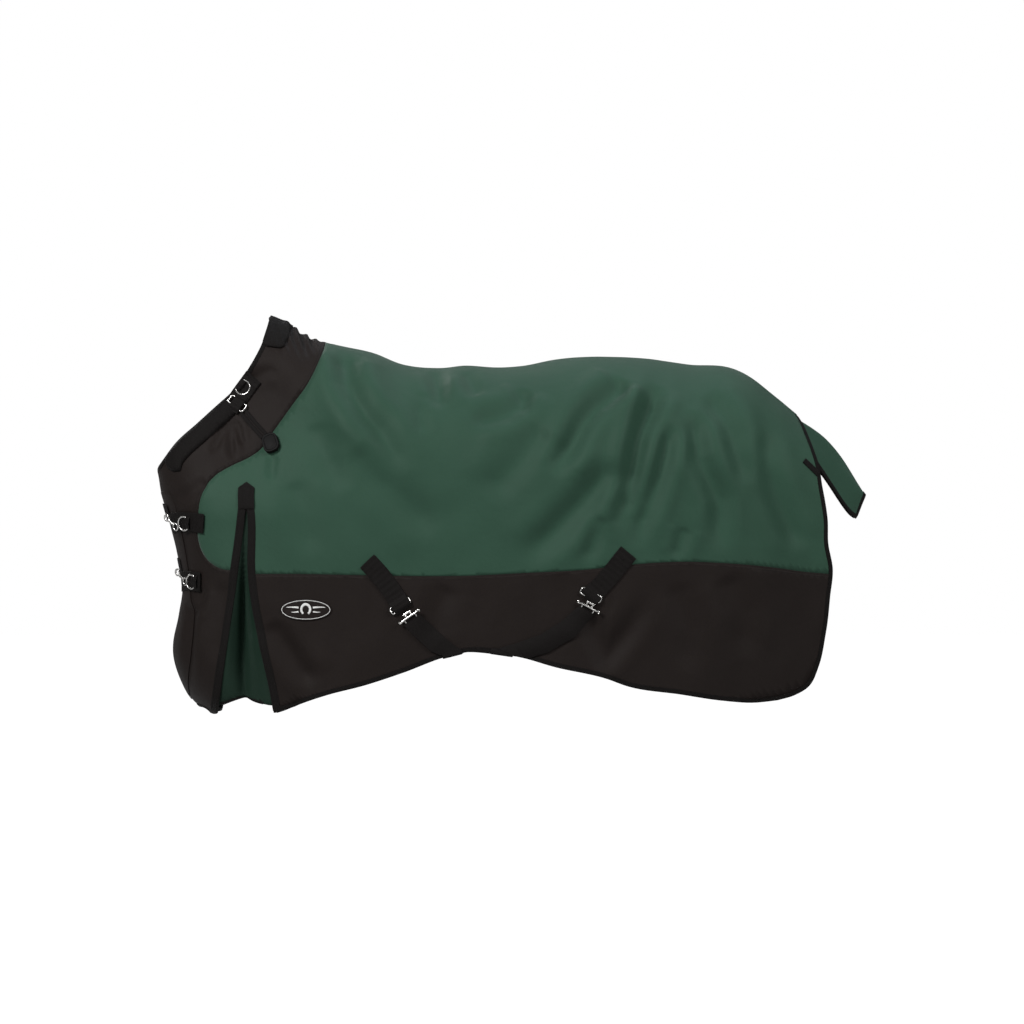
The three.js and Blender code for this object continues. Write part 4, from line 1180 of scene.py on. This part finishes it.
def finer(stations):
    rows = []
    for i, pair in enumerate(stations):
        a, b = np.array(pair, float)
        if i == len(stations) - 1:
            rows.append([a, (a + b) / 2, b])
            break
        c, d = np.array(stations[i + 1], float)
        for k in range(3):
            p, q = a + (c - a) * k / 3, b + (d - b) * k / 3
            rows.append([p, (p + q) / 2, q])
    return rows


def belly_rows(end, opposite):
    near = finer(STRAP_STATIONS[end])
    start, far = near[-1], finer(STRAP_STATIONS[opposite])[-1][::-1]

    def lifted(row, lift, side):
        return [side_point(x, z, side, lift) for x, z in row]

    def turned(row, side, out, drop):
        places = []
        for x, _ in row:
            z = float(hem_at(x))
            y = side_point(x, z, side, 0.0)[1]
            places.append(np.array([x, y + side * out, z + ORIGIN_RISE - drop]))
        return places

    first, last = turned(start, -1, -14, 4), turned(far, 1, -14, 4)
    crossing = []
    for t in (0.2, 0.4, 0.6, 0.8):
        rise = np.array([0, 0, BELLY_RISE[end] * math.sin(math.pi * t)])
        crossing.append([p + (q - p) * t + rise for p, q in zip(first, last)])
    slant = -8 if end == "rear" else 8
    onward = [(x + slant, z + 26) for x, z in far]
    high = np.array([0, 0, ORIGIN_RISE])
    return np.array(
        [[p + high for p in lifted(row, 4.6, -1)] for row in near]
        + [turned(start, -1, 4.6, 1), turned(start, -1, -3, 4), first] + crossing
        + [last, turned(far, 1, -3, 4), turned(far, 1, 7, 1)]
        + [[p + high for p in lifted(far, 7, 1)], [p + high for p in lifted(onward, 7, 1)]])


def row_gap(a, b):
    return max(float(np.linalg.norm(a[1] - b[1])), 1.0)


def through(rows, per_gap=5):
    """Rows between the given ones, on a smooth curve through them."""
    count = len(rows)
    out = []
    for i in range(count - 1):
        p0, p1, p2, p3 = (rows[max(i - 1, 0)], rows[i], rows[i + 1], rows[min(i + 2, count - 1)])
        d0, d1, d2 = row_gap(p0, p1), row_gap(p1, p2), row_gap(p2, p3)
        m1 = ((p1 - p0) / d0 * d1 + (p2 - p1) / d1 * d0) / (d0 + d1)
        m2 = ((p2 - p1) / d1 * d2 + (p3 - p2) / d2 * d1) / (d1 + d2)
        for t in np.arange(per_gap) / per_gap:
            out.append(p1 * (1 + 2 * t) * (1 - t) ** 2 + p2 * t * t * (3 - 2 * t)
                       + m1 * d1 * t * (1 - t) ** 2 - m2 * d1 * t * t * (1 - t))
    out.append(rows[-1])
    return np.array(out)


def ribbon(name, rows):
    """A flat strap through rows of three points: one edge, the middle and the other edge."""
    middle = rows[:, 1]
    across = rows[:, 0] - rows[:, 2]
    width = np.linalg.norm(across, axis=1, keepdims=True)
    across = across / width
    normal = np.cross(np.gradient(middle, axis=0), across)
    normal /= np.linalg.norm(normal, axis=1, keepdims=True)
    section = np.array([(0.94, -1.0), (1.0, -0.1), (0.97, 0.85), (0.85, 1.0), (0.3, 1.1), (-0.3, 1.1),
                        (-0.85, 1.0), (-0.97, 0.85), (-1.0, -0.1), (-0.94, -1.0)])
    reach = section[:, 0][None, :, None] * (width / 2)[:, None, :]
    places = (middle[:, None, :] + across[:, None, :] * reach
              + normal[:, None, :] * (section[:, 1] * WEB / 2)[None, :, None])
    s = arc_lengths(middle)
    return closed_tube(name, places * MM, s * MM, arc_lengths(section * [WEB_HALF, 1.2]) * MM, [WEBBING])


for end, opposite in (("front", "rear"), ("rear", "front")):
    strap = ribbon(f"belly_strap_web_{end}", through(belly_rows(end, opposite)))
    finish_piece(strap, "webbing", f"belly_strap_{end}")
    straps.append(strap)

# %% [markdown]
# ## The neck strap and its toggle
#
# A narrow doubled strap comes from the ring at the collar, passes its slide and ends in a moulded toggle.
# Pulling it draws the collar close. The toggle starts as a cube. Its edges are bevelled round, and its
# top is inset and pushed in to leave the raised rim that a thumb grips.

# %% Neck strap
neck_pull = []
for k, shift in enumerate((-6.5, 6.5)):
    line = offset(curve([(-652, -122), (-628, -150), (-597, -184)], 4.0), shift)
    pull, _ = webbing(f"neck_pull_{k + 1}", line, -1, 5.2, 1.6, ["neck_strap"], thick=2.2, step=3.0)
    neck_pull.append(pull)
loop_line = [(-651, -77), (-667, -101), (-681, -121)]
pull, _ = webbing("neck_pull_loop", loop_line, -1, 15.5, 5.2, ["neck_strap"], thick=2.0, step=2.0,
                  lift=over_ring(28.8, 6.0, 17.0))
neck_pull.append(pull)
keeper, _ = webbing("neck_dee_keeper", [(-648, -36), (-670, -65)], -1, 7.5, 5.6, ["neck_tab"],
                    thick=1.8, step=1.5, lift=over_ring(18.0, 5.2, 14.0))
neck_pull.append(keeper)


def seat(x, z, turn, clear, side=-1, face=0.0):
    """The frame of a small piece on the cloth: X along, Z up, and -Y looking out. face turns it sideways."""
    along, down = to_cloth(np.array([float(x)]), np.array([float(z)]))
    place = Vector(skin(along, side * down, clear)[0])
    out = Vector(outward(along, side * down)[0]).lerp(Vector((0, side, 0)), face).normalized()
    up = (Vector((0, 0, 1)) - out * out.z).normalized()
    along_axis = up.cross(out)
    frame_ = Matrix((along_axis, -out, up)).transposed().to_4x4()
    return Matrix.Translation(place) @ frame_ @ Matrix.Rotation(turn, 4, "Y")


def settle(obj, place):
    """Writes a piece's place into its mesh, so that its object is at the origin."""
    obj.data.transform(place @ obj.matrix_world)
    obj.matrix_world = Matrix.Identity(4)
    obj.data.update()


def moulded(name, colour, rough):
    f = Finish(name, colour, rough, **{"Specular IOR Level": 0.08})
    where = f.place("Object")
    grain = f.noise(where, 0.0012, 2.0)
    wear = f.noise(where, 0.014, 3.0)
    f.set("Roughness", wear * 0.2 + (rough - 0.1))
    f.set("Base Color", f.tint(colour, tuple(c * 1.7 for c in colour), wear))
    f.set("Normal", f.bump(grain, 0.0001, 0.5))
    return f.material


RESIN = moulded("moulded_black", (0.0030, 0.0028, 0.0028), 0.6)

# %% Toggle
deselect()
bpy.ops.mesh.primitive_cube_add(size=1.0)
toggle = bpy.context.object
toggle.name = "neck_toggle_moulded"
toggle.scale = (0.053, 0.012, 0.042)
bpy.ops.object.transform_apply(scale=True)
bpy.ops.object.mode_set(mode="EDIT")
bpy.ops.mesh.select_mode(type="EDGE")
bpy.ops.mesh.select_all(action="DESELECT")
bm = bmesh.from_edit_mesh(toggle.data)
for e in bm.edges:
    e.select_set(abs((e.verts[0].co - e.verts[1].co).normalized().y) > 0.9)
bmesh.update_edit_mesh(toggle.data)
bpy.ops.mesh.bevel(offset=0.0165, segments=8)
bpy.ops.mesh.select_mode(type="FACE")
bpy.ops.mesh.select_all(action="DESELECT")
bm = bmesh.from_edit_mesh(toggle.data)
for f in bm.faces:
    f.select_set(f.normal.y < -0.9)
bmesh.update_edit_mesh(toggle.data)
bpy.ops.mesh.inset(thickness=0.005, depth=0.0)
bpy.ops.mesh.inset(thickness=0.0018, depth=-0.0022)
bpy.ops.mesh.inset(thickness=0.005, depth=0.0012)
bpy.ops.object.mode_set(mode="OBJECT")
toggle.data.name = toggle.name
apply(toggle, "BEVEL", width=0.0016, segments=3, limit_method="ANGLE", angle_limit=math.radians(40))
soften(toggle, 45)
toggle.data.materials.append(RESIN)
settle(toggle, seat(-577, -205, 1.15, 8.5))
finish_piece(toggle, "toggle", "neck_toggle")
print("toggle:", len(toggle.data.polygons), "faces")

# %% [markdown]
# ## Nickel-plated hardware
#
# Rings, slides and hooks are bent from plated steel wire. Each one is drawn as a path with a round
# section, and then made a mesh. Polished plate reflects its surroundings, and a little uneven
# roughness and a darker tone keep it from looking like a mirror.

# %% The plated steel
steel = Finish("nickel_plate", (0.62, 0.61, 0.59), 0.22, Metallic=1.0)
where = steel.place("Object")
haze = steel.noise(where, 0.009, 4.0, 0.6)
steel.set("Roughness", haze * 0.22 + 0.12)
steel.set("Base Color", steel.tint((0.50, 0.49, 0.47), (0.74, 0.73, 0.71), haze))
steel.set("Normal", steel.bump(steel.noise(where, 0.0016, 2.0), 0.00006, 0.5))
STEEL = steel.material

# %% Wire shapes


def wire(name, points, radius, closed=False, flat=1.0):
    """Wire bent through points in mm, X along and Z up, y out towards -Y. flat squeezes its section."""
    deselect()
    bpy.ops.curve.primitive_nurbs_path_add(radius=1.0)
    obj = bpy.context.object
    obj.name = name
    data = obj.data
    data.splines.clear()
    spline = data.splines.new("NURBS")
    spline.points.add(len(points) - 1)
    for point, place in zip(spline.points, points):
        x, z, y = (*place, 0.0) if len(place) == 2 else place
        point.co = (x * MM, y * MM, z * MM, 1.0)
    spline.order_u = 3
    spline.use_cyclic_u = closed
    spline.use_endpoint_u = not closed
    spline.resolution_u = 4
    data.dimensions = "3D"
    data.bevel_depth = radius * MM
    data.bevel_resolution = 4
    data.use_fill_caps = True
    bpy.ops.object.convert(target="MESH")
    obj = bpy.context.object
    obj.data.transform(Matrix.Scale(flat, 4, (0, 1, 0)))
    bpy.ops.object.mode_set(mode="EDIT")
    bpy.ops.mesh.select_all(action="SELECT")
    bpy.ops.mesh.remove_doubles(threshold=0.00002)
    bpy.ops.mesh.normals_make_consistent(inside=False)
    bpy.ops.object.mode_set(mode="OBJECT")
    return obj


def joined(name, parts):
    deselect()
    for part in parts:
        part.select_set(True)
    bpy.context.view_layer.objects.active = parts[0]
    if len(parts) > 1:
        bpy.ops.object.join()
    obj = bpy.context.object
    obj.name = obj.data.name = name
    obj.data.materials.clear()
    obj.data.materials.append(STEEL)
    soften(obj, 60)
    return obj


def around(radius, start, end, count, cx=0.0, cz=0.0, y=0.0):
    turns = np.linspace(math.radians(start), math.radians(end), count)
    return [(cx + radius * math.cos(t), cz + radius * math.sin(t), y) for t in turns]


def dee(name, radius, wire_radius=2.2):
    """A D-ring: round in front, with a straight bar that its tab is folded over."""
    arc = around(radius, -128, 128, 25)
    bar_x = -0.62 * radius
    bar = [(bar_x, z) for z in np.linspace(0.62, -0.62, 6) * radius]
    return wire(name, arc + bar, wire_radius, closed=True)


def oblong(name, wide, high, radius=4.0, wire_radius=2.0):
    """A flat slide or loop: a rounded rectangle of wire."""
    w, h = wide / 2 - radius, high / 2 - radius
    points = (around(radius, 0, 90, 5, w, h) + around(radius, 90, 180, 5, -w, h)
              + around(radius, 180, 270, 5, -w, -h) + around(radius, 270, 360, 5, w, -h))
    return wire(name, points, wire_radius, closed=True)


# %% Rings and the slide
metal = []


def place_metal(name, parts, node, x, z, turn, clear, face=0.0):
    obj = joined(name, parts)
    settle(obj, seat(x, z, turn, clear, face=face))
    finish_piece(obj, "steel", node)
    metal.append(obj)
    return obj


place_metal("neck_dee", [dee("wire", 19)], "neck_ring", -653, -57, 0.7, 7.8)
place_metal("neck_slide_frame", [oblong("wire", 50, 21)], "neck_slide", -667, -101, 0.66, 8.2)
for i, (x, z) in enumerate([(-799, -408), (-779, -560)]):
    place_metal(f"chest_dee_{i + 1}", [dee("wire", 18)], f"chest_ring_{i + 1}", x, z, math.pi, 9.0, 0.3)

# %% [markdown]
# ## Snap hooks and T-hooks
#
# A snap hook is an S of plated metal. One loop holds its strap, the other snaps on the ring, and a
# short swivel barrel joins them. A belly hook is a long bar with curled ends. It is passed through the
# ring's slot and turned, and then it can't slip back.

# %% Snap hooks
for i, (x, z) in enumerate([(-826, -403), (-800, -546)]):
    eye = wire("wire", around(8.5, 0, 360, 16, 19, 1.5)[:-1], 2.3, closed=True)
    hook = wire("wire", around(9.0, 40, 330, 18, -19, -1.5), 2.4)
    gate = wire("wire", [(-12, 5), (-9, 0), (-11.5, -6)], 1.5)
    barrel = wire("wire", [(-10.5, -0.8), (-9, -0.7), (-4, -0.4), (4, 0.4), (9, 0.7), (10.5, 0.8)], 3.6)
    collar = wire("wire", [(2.5, 0.2), (3.5, 0.3), (6, 0.4), (7, 0.5)], 4.5)
    place_metal(f"snap_hook_{i + 1}", [eye, hook, gate, barrel, collar], f"chest_hook_{i + 1}", x, z,
                0.75 + math.pi, 15.0, 0.3)

# %% T-hooks and their slotted rings
BELLY_FITTINGS = {"front": ((-243, -621), (-219, -649), -0.6), "rear": ((247, -593), (241, -624), 0.5)}
for end, (ring, hook, turn) in BELLY_FITTINGS.items():
    place_metal(f"slotted_ring_{end}", [oblong("wire", 57, 17, 5.0, 2.0)], f"belly_ring_{end}", *ring,
                turn, 6.6)
    bar = wire("wire", [(-29, 3.4), (-31.5, 0.6), (-29, -2.6), (-25, -1.2), (-19, 0), (0, 0.4), (19, 0),
                        (25, 1.2), (29, 2.6), (31.5, -0.6), (29, -3.4)], 2.5)
    plate = wire("wire", [(-11, 11), (-9.5, 11), (0, 11.4), (9.5, 11), (11, 11)], 2.9, flat=0.8)
    legs = [wire("wire", [(s * 7.5, 0.5), (s * 7.8, 5), (s * 7.5, 11)], 1.9) for s in (-1, 1)]
    tail = wire("wire", [(-16, -9, 6), (-17, -4, 5), (-15, 0, 0), (15, 0, 0), (17, -4, 5), (16, -9, 6)], 1.9)
    place_metal(f"t_hook_{end}", [bar, plate, tail, *legs], f"belly_hook_{end}", *hook, turn, 10.5)
print("metal pieces:", len(metal), "with", sum(len(m.data.polygons) for m in metal), "faces")

# %% [markdown]
# ## The sewn badge
#
# An oval badge is sewn to the near skirt. It carries a plain horseshoe between two pairs of tapered
# bars, in pale thread, and a thin pale line runs round it. These are raised satin stitch, so they are
# rounded ribbons that lie on the badge and not a printed picture.

# %% Badge
BADGE = (-487.0, -632.0)
BADGE_HALF = (67.0, 28.0)
oval = np.array(around(1.0, 0, 360, 73))[:, :2] * BADGE_HALF + BADGE
badge, badge_outline = laid_piece("sewn_badge", oval, -1, 0.4, 1.8, BLACK, "patch", ["maker_patch"], rise=1.4,
                                  margin=20.0, cell=3.5)
thread = Finish("badge_thread", (0.62, 0.62, 0.60), 0.55, **{"Sheen Weight": 0.2, "Specular IOR Level": 0.4})
u, v, _ = thread.parts(thread.place("UV"))
strand = (u * (TAU / 0.0009)).sine() * 0.5 + 0.5
thread.set("Base Color", thread.tint((0.42, 0.42, 0.41), (0.74, 0.74, 0.72), strand))
thread.set("Normal", thread.bump(strand, 0.0002, 0.7))
THREAD_PALE = thread.material


def satin(name, points, half, low):
    """Satin stitch along a side-view path. half is its half-width in mm, or one for each point."""
    path = cloth_line(np.array(points, float), -1)
    half = np.broadcast_to(half, len(path)).astype(float)
    across = square_to(path, np.gradient(path, axis=0))
    section = np.array([(1, 0), (0.9, 0.5), (0.45, 0.95), (-0.45, 0.95), (-0.9, 0.5), (-1, 0)])
    at = path[:, None, :] + across[:, None, :] * section[None, :, :1] * half[:, None, None]
    rows = skin(at[..., 0], at[..., 1], low + section[None, :, 1] * np.minimum(half, 1.1)[:, None])
    return closed_tube(name, rows, arc_lengths(path) * MM, arc_lengths(section * 3) * MM, [THREAD_PALE])


bx, bz = BADGE
motif = []
rim = np.array(around(1.0, 0, 360, 61))[:, :2]
motif.append(satin("rim", rim * (62.5, 24.0) + BADGE, 0.8, 3.2))
shoe = [(bx + 11.5 * math.sin(t), bz + 1.0 + 13.0 * math.cos(t)) for t in np.linspace(-2.55, 2.55, 25)]
motif.append(satin("shoe", shoe, 3.0 * np.clip(1.15 - 0.25 * np.abs(np.linspace(-1, 1, 25)), 0, 2), 3.4))
for s in (-1, 1):
    for k, (reach, half) in enumerate(((40, 2.6), (30, 2.0))):
        start, height = bx + s * 18.5, bz + 5.5 - 10.5 * k
        bars = [(start + s * (reach - 6 * k) * t * 0.8, height + 1.2 * math.sin(2.6 * t) * (1 - 2 * k))
                for t in np.linspace(0, 1, 13)]
        motif.append(satin("bar", bars, half * (1.08 - np.linspace(0, 1, 13)) ** 0.6, 3.3))
deselect()
for part in motif:
    part.select_set(True)
bpy.context.view_layer.objects.active = motif[0]
bpy.ops.object.join()
motif_piece = bpy.context.object
motif_piece.name = motif_piece.data.name = "badge_satin_stitch"
finish_piece(motif_piece, "patch")
print("badge thread:", len(motif_piece.data.polygons), "faces")

# %% [markdown]
# ## Tail flap
#
# A flap hangs over the tail from the end of the back. Its section is an arch that grows flatter towards
# its lower edge. It has its own binding on three sides.

# %% Tail flap
FLAP_MIDDLE = [(760, -108), (786, -133), (827, -163), (864, -196), (904, -243), (946, -305), (967, -332)]
FLAP_SIDE = [(770, -176), (800, -216), (830, -252), (864, -298), (904, -357), (926, -384), (941, -396)]
FLAP_HALF = [92, 100, 108, 110, 104, 88, 60]
flap_u = np.linspace(0, 1, 7)
flap_lines = [smooth(list(zip(flap_u, [p[k] for p in line])))
              for line in (FLAP_MIDDLE, FLAP_SIDE) for k in (0, 1)]
flap_half_at = smooth(list(zip(flap_u, FLAP_HALF)))


def flap_place(u, v):
    mx, mz, sx, sz = (line(u) for line in flap_lines)
    bend = np.abs(v) ** 1.9
    wave = 3.2 * np.sin(5.3 * v + 4.0 * u) * ease(u * 2.0) + 1.6 * np.sin(11.0 * v - 7.0 * u)
    return np.stack([mx + (sx - mx) * bend + wave * 0.5, v * flap_half_at(u),
                     mz + (sz - mz) * bend + wave * 0.8 + ORIGIN_RISE], axis=-1)


def flap_frame(u, v):
    e = 0.01
    along = flap_place(u + e, v) - flap_place(u - e, v)
    across = flap_place(u, v + e) - flap_place(u, v - e)
    along, across = (d / np.linalg.norm(d, axis=-1, keepdims=True) for d in (along, across))
    out = np.cross(along, across)
    return along, across, out / np.linalg.norm(out, axis=-1, keepdims=True)


rows_u, rows_v = np.linspace(0.0, 0.995, 56), np.linspace(-0.993, 0.993, 41)
grid_u, grid_v = np.meshgrid(rows_u, rows_v, indexing="ij")
flap_points = flap_place(grid_u, grid_v) * MM
index = np.arange(grid_u.size).reshape(grid_u.shape)
flap_faces = [(int(index[i, j]), int(index[i + 1, j]), int(index[i + 1, j + 1]), int(index[i, j + 1]))
              for i in range(index.shape[0] - 1) for j in range(index.shape[1] - 1)]
flap_uv = np.stack([grid_u * 0.31, grid_v * 0.11], axis=-1).reshape(-1, 2)
flap = mesh_piece("tail_flap_cloth", flap_points.reshape(-1, 3), flap_faces, flap_uv, [GREEN, LINING])
thicken(flap, CLOTH, lined=True)
finish_piece(flap, "green_cloth", "tail_flap")

edge_u = np.concatenate([np.linspace(0.10, 0.985, 40), np.full(25, 1.0), np.linspace(0.985, 0.10, 40)])
edge_v = np.concatenate([np.full(40, -1.0), np.linspace(-0.94, 0.94, 25), np.full(40, 1.0)])
along, across, out = flap_frame(edge_u, edge_v)
edge = flap_place(edge_u, edge_v)
run = np.gradient(edge, axis=0)
run /= np.linalg.norm(run, axis=1, keepdims=True)
into = np.cross(out, run)
into /= np.linalg.norm(into, axis=1, keepdims=True)
flap_section = np.array(fold_over(TAPE))
rows = (edge[:, None, :] + into[:, None, :] * flap_section[None, :, :1]
        + out[:, None, :] * flap_section[None, :, 1:])
flap_tape = closed_tube("tail_flap_tape", rows * MM, arc_lengths(edge) * MM, arc_lengths(flap_section) * MM,
                        [BINDING])
finish_piece(flap_tape, "edge_tape", "tail_flap_binding")

# %% [markdown]
# ## Stitching
#
# Lockstitch shows as a row of short threads, each one rounded and a little sunk at its ends. One stitch
# is modelled as a few faces and repeated a few thousand times in one mesh for each colour of thread.
# The threads follow the seams on both sides, the tapes and the ends of every tab.

# %% Thread
sewing = Finish("polyester_thread", (0.006, 0.005, 0.005), 0.7, **{"Specular IOR Level": 0.1})
twist = sewing.noise(sewing.place("Object"), 0.0009, 2.0)
sewing.set("Base Color", sewing.tint((0.0045, 0.0038, 0.0036), (0.0110, 0.0095, 0.0090), twist))
sewing.set("Normal", sewing.bump(twist, 0.0001, 0.5))
SEWING = sewing.material
STITCH = 3.1
PITCH = 4.2
WIDE = 0.42


# One stitch as (along, across, height): its start, a section near each end, and its end.
STITCH_POINTS = ((-0.5, 0, -0.35), (-0.25, 1, -0.05), (-0.25, 0, 0.5), (-0.25, -1, -0.05),
                 (-0.25, 0, -0.4), (0.25, 1, -0.05), (0.25, 0, 0.5), (0.25, -1, -0.05),
                 (0.25, 0, -0.4), (0.5, 0, -0.35))
# Box stitches: half their width, the slit cap's corners, and each near tab's line, start, end and height.
BOX_HALF = 22
CAP_BOX = [(-655, -338), (-627, -338), (-627, -314), (-655, -314)]
TAB_BOXES = (
    ([(-329, -506), (-243, -621)], 3, 44, 4.4),
    ([(344, -484), (247, -593)], 3, 44, 4.4),
    ([(-839, -410.5), (-751, -410.5)], 52, 85, 6.4),
    ([(-811, -563), (-758, -563)], 24, 50, 6.4),
    ([(-624, -30), (-666, -86)], 4, 26, 5.8),
)


def stitched(line, lift):
    """Stitches along a line on the cloth: each one's ten points, in metres."""
    line = np.asarray(line, float)
    s = arc_lengths(line)
    if s[-1] < PITCH:
        return np.zeros((0, 10, 3))
    at = np.arange(PITCH / 2, s[-1], PITCH)
    middle = np.stack([np.interp(at, s, line[:, 0]), np.interp(at, s, line[:, 1])], axis=1)
    onward = np.stack([np.interp(at + 0.5, s, line[:, 0]), np.interp(at + 0.5, s, line[:, 1])], axis=1)
    onward -= np.stack([np.interp(at - 0.5, s, line[:, 0]), np.interp(at - 0.5, s, line[:, 1])], axis=1)
    onward /= np.maximum(np.linalg.norm(onward, axis=1, keepdims=True), 1e-9)
    across = np.stack([-onward[:, 1], onward[:, 0]], axis=1)
    points = []
    for e, w, h in STITCH_POINTS:
        p = middle + onward * STITCH * e + across * WIDE * w
        points.append(skin(p[:, 0], p[:, 1], lift + h))
    return np.stack(points, axis=1)


def stitch_faces():
    ends = [(0, k, k % 4 + 1) for k in range(1, 5)] + [(9, k % 4 + 5, k + 4) for k in range(1, 5)]
    sides = [(k, k + 4, k % 4 + 5, k % 4 + 1) for k in range(1, 5)]
    return ends + sides


def stitch_piece(name, lines, slot):
    groups = [stitched(line, lift) for line, lift in lines]
    points = np.concatenate(groups)
    faces = [tuple(10 * i + k for k in f) for i in range(len(points)) for f in stitch_faces()]
    obj = mesh_piece(name, points.reshape(-1, 3), faces, None, [SEWING])
    only(obj)
    bpy.ops.object.mode_set(mode="EDIT")
    bpy.ops.mesh.select_all(action="SELECT")
    bpy.ops.mesh.normals_make_consistent(inside=False)
    bpy.ops.object.mode_set(mode="OBJECT")
    finish_piece(obj, slot)
    print(name, len(points), "stitches")
    return obj


def box_stitch(corners, side):
    """A sewn box with a cross in it, as on every tab's end."""
    a, b, c, d = corners
    return [cloth_line(spread(pair, 2.0), side) for pair in ((a, b), (b, c), (c, d), (d, a), (a, c), (b, d))]


def square_on(line, start, end, half):
    """Four corners on a strap, from one distance along it to another."""
    a, b = np.array(line[0], float), np.array(line[-1], float)
    u_ = (b - a) / np.linalg.norm(b - a)
    w_ = np.array([-u_[1], u_[0]]) * half
    return [a + u_ * start + w_, a + u_ * end + w_, a + u_ * end - w_, a + u_ * start - w_]


for side, word in ((-1, "near"), (1, "off")):
    seam_lines = []
    for seam in (yoke[6:-2], skirt_seam[3:-2]):
        for by in (-3.2, -8.6):
            seam_lines.append((cloth_line(offset(seam, by), side), 0.15))
    for line, away in ((np.vstack([hem[2:], rear_low[1:]]), 8.2), (rear_high[:-2], 8.2),
                       (under_top(neck_edge[neck_edge[:, 0] > breast_at(neck_edge[:, 1]) + 8])[3:], 8.2),
                       (slit_front[5:-2], -15.8), (slit_rear[5:-2], 15.8),
                       (slit_front[5:-2], -3.4), (slit_rear[5:-2], 3.4)):
        seam_lines.append((cloth_line(offset(line, away), side), 1.45))
    seam_lines += [(l, 4.9) for l in box_stitch(CAP_BOX, side)]
    if side < 0:
        for line, start, end, lift in TAB_BOXES:
            seam_lines += [(l, lift) for l in box_stitch(square_on(line, start, end, BOX_HALF), side)]
        oval_line = np.array(around(1.0, 0, 360, 90))[:, :2] * (65.0, 26.2) + BADGE
        seam_lines.append((cloth_line(oval_line, side), 2.9))
        lap = overlap_edge[overlap_edge[:, 0] > breast_at(overlap_edge[:, 1]) + 14]
        seam_lines.append((cloth_line(offset(lap, 6.0), side), 2.8))
    else:
        for line in ([(-330, -505), (-240, -622)], [(343, -484), (247, -600)]):
            seam_lines += [(l, 4.4) for l in box_stitch(square_on(line, 4, 46, BOX_HALF), side)]
    stitch_piece(f"stitching_{word}", seam_lines, "edge_tape")

# %% [markdown]
# ## Studio
#
# The blanket is shown against white, with a large soft light high in front, a weaker one from the other
# side, and one above the back that gives the shoulder line its bluish bloom. A low one behind lights the
# off side.

# %% Floor and sky
FLOOR = -1.56
SKY_LIGHT = 0.12        # how strongly the surroundings light the blanket
FLOOR_LIGHT = 0.20      # and how strongly the floor does
white = Finish("studio_white", (0.35, 0.35, 0.35), 0.9, **{"Specular IOR Level": 0.0})
direct = white.out(white.node("ShaderNodeLightPath"), "Is Camera Ray")
white.set("Emission Color", direct * (1.0 - FLOOR_LIGHT) + FLOOR_LIGHT)
white.set("Emission Strength", 1.0)
deselect()
bpy.ops.mesh.primitive_circle_add(vertices=96, radius=60.0, fill_type="NGON", location=(0, 0, FLOOR))
floor = bpy.context.object
floor.name = "studio_floor"
floor.data.materials.append(white.material)

world = bpy.data.worlds.new("studio")
bpy.context.scene.world = world
world.use_nodes = True
sky = world.node_tree
seen = sky.nodes.new("ShaderNodeLightPath").outputs["Is Camera Ray"]
bright = Val(sky, seen) * (1.0 - SKY_LIGHT) + SKY_LIGHT
sky.nodes["Background"].inputs["Color"].default_value = (1.0, 1.0, 1.0, 1.0)
sky.links.new(bright.socket, sky.nodes["Background"].inputs["Strength"])


# %% Lights
def softbox(name, place, target, wide, high, power, colour=(1, 1, 1)):
    data = bpy.data.lights.new(name, "AREA")
    data.shape = "RECTANGLE"
    data.size, data.size_y = wide, high
    data.energy = power
    data.color = colour
    light = bpy.data.objects.new(name, data)
    light.location = place
    light.rotation_euler = (Vector(target) - Vector(place)).to_track_quat("-Z", "Y").to_euler()
    bpy.context.scene.collection.objects.link(light)


softbox("key", (-3.9, -3.9, 3.1), (0.0, 0.0, -0.3), 1.6, 1.4, 400)
softbox("fill", (3.8, -3.9, 2.6), (0.3, 0.0, -0.3), 2.0, 2.0, 230)
softbox("top", (0.9, 0.9, 3.3), (0.2, 0.0, 0.0), 3.4, 1.6, 60, (0.82, 0.91, 1.0))
softbox("back", (-2.6, 4.6, 2.4), (0.0, 0.2, -0.4), 2.4, 2.0, 80)
bpy.context.scene.view_settings.view_transform = "Standard"
bpy.context.scene.view_settings.look = "None"
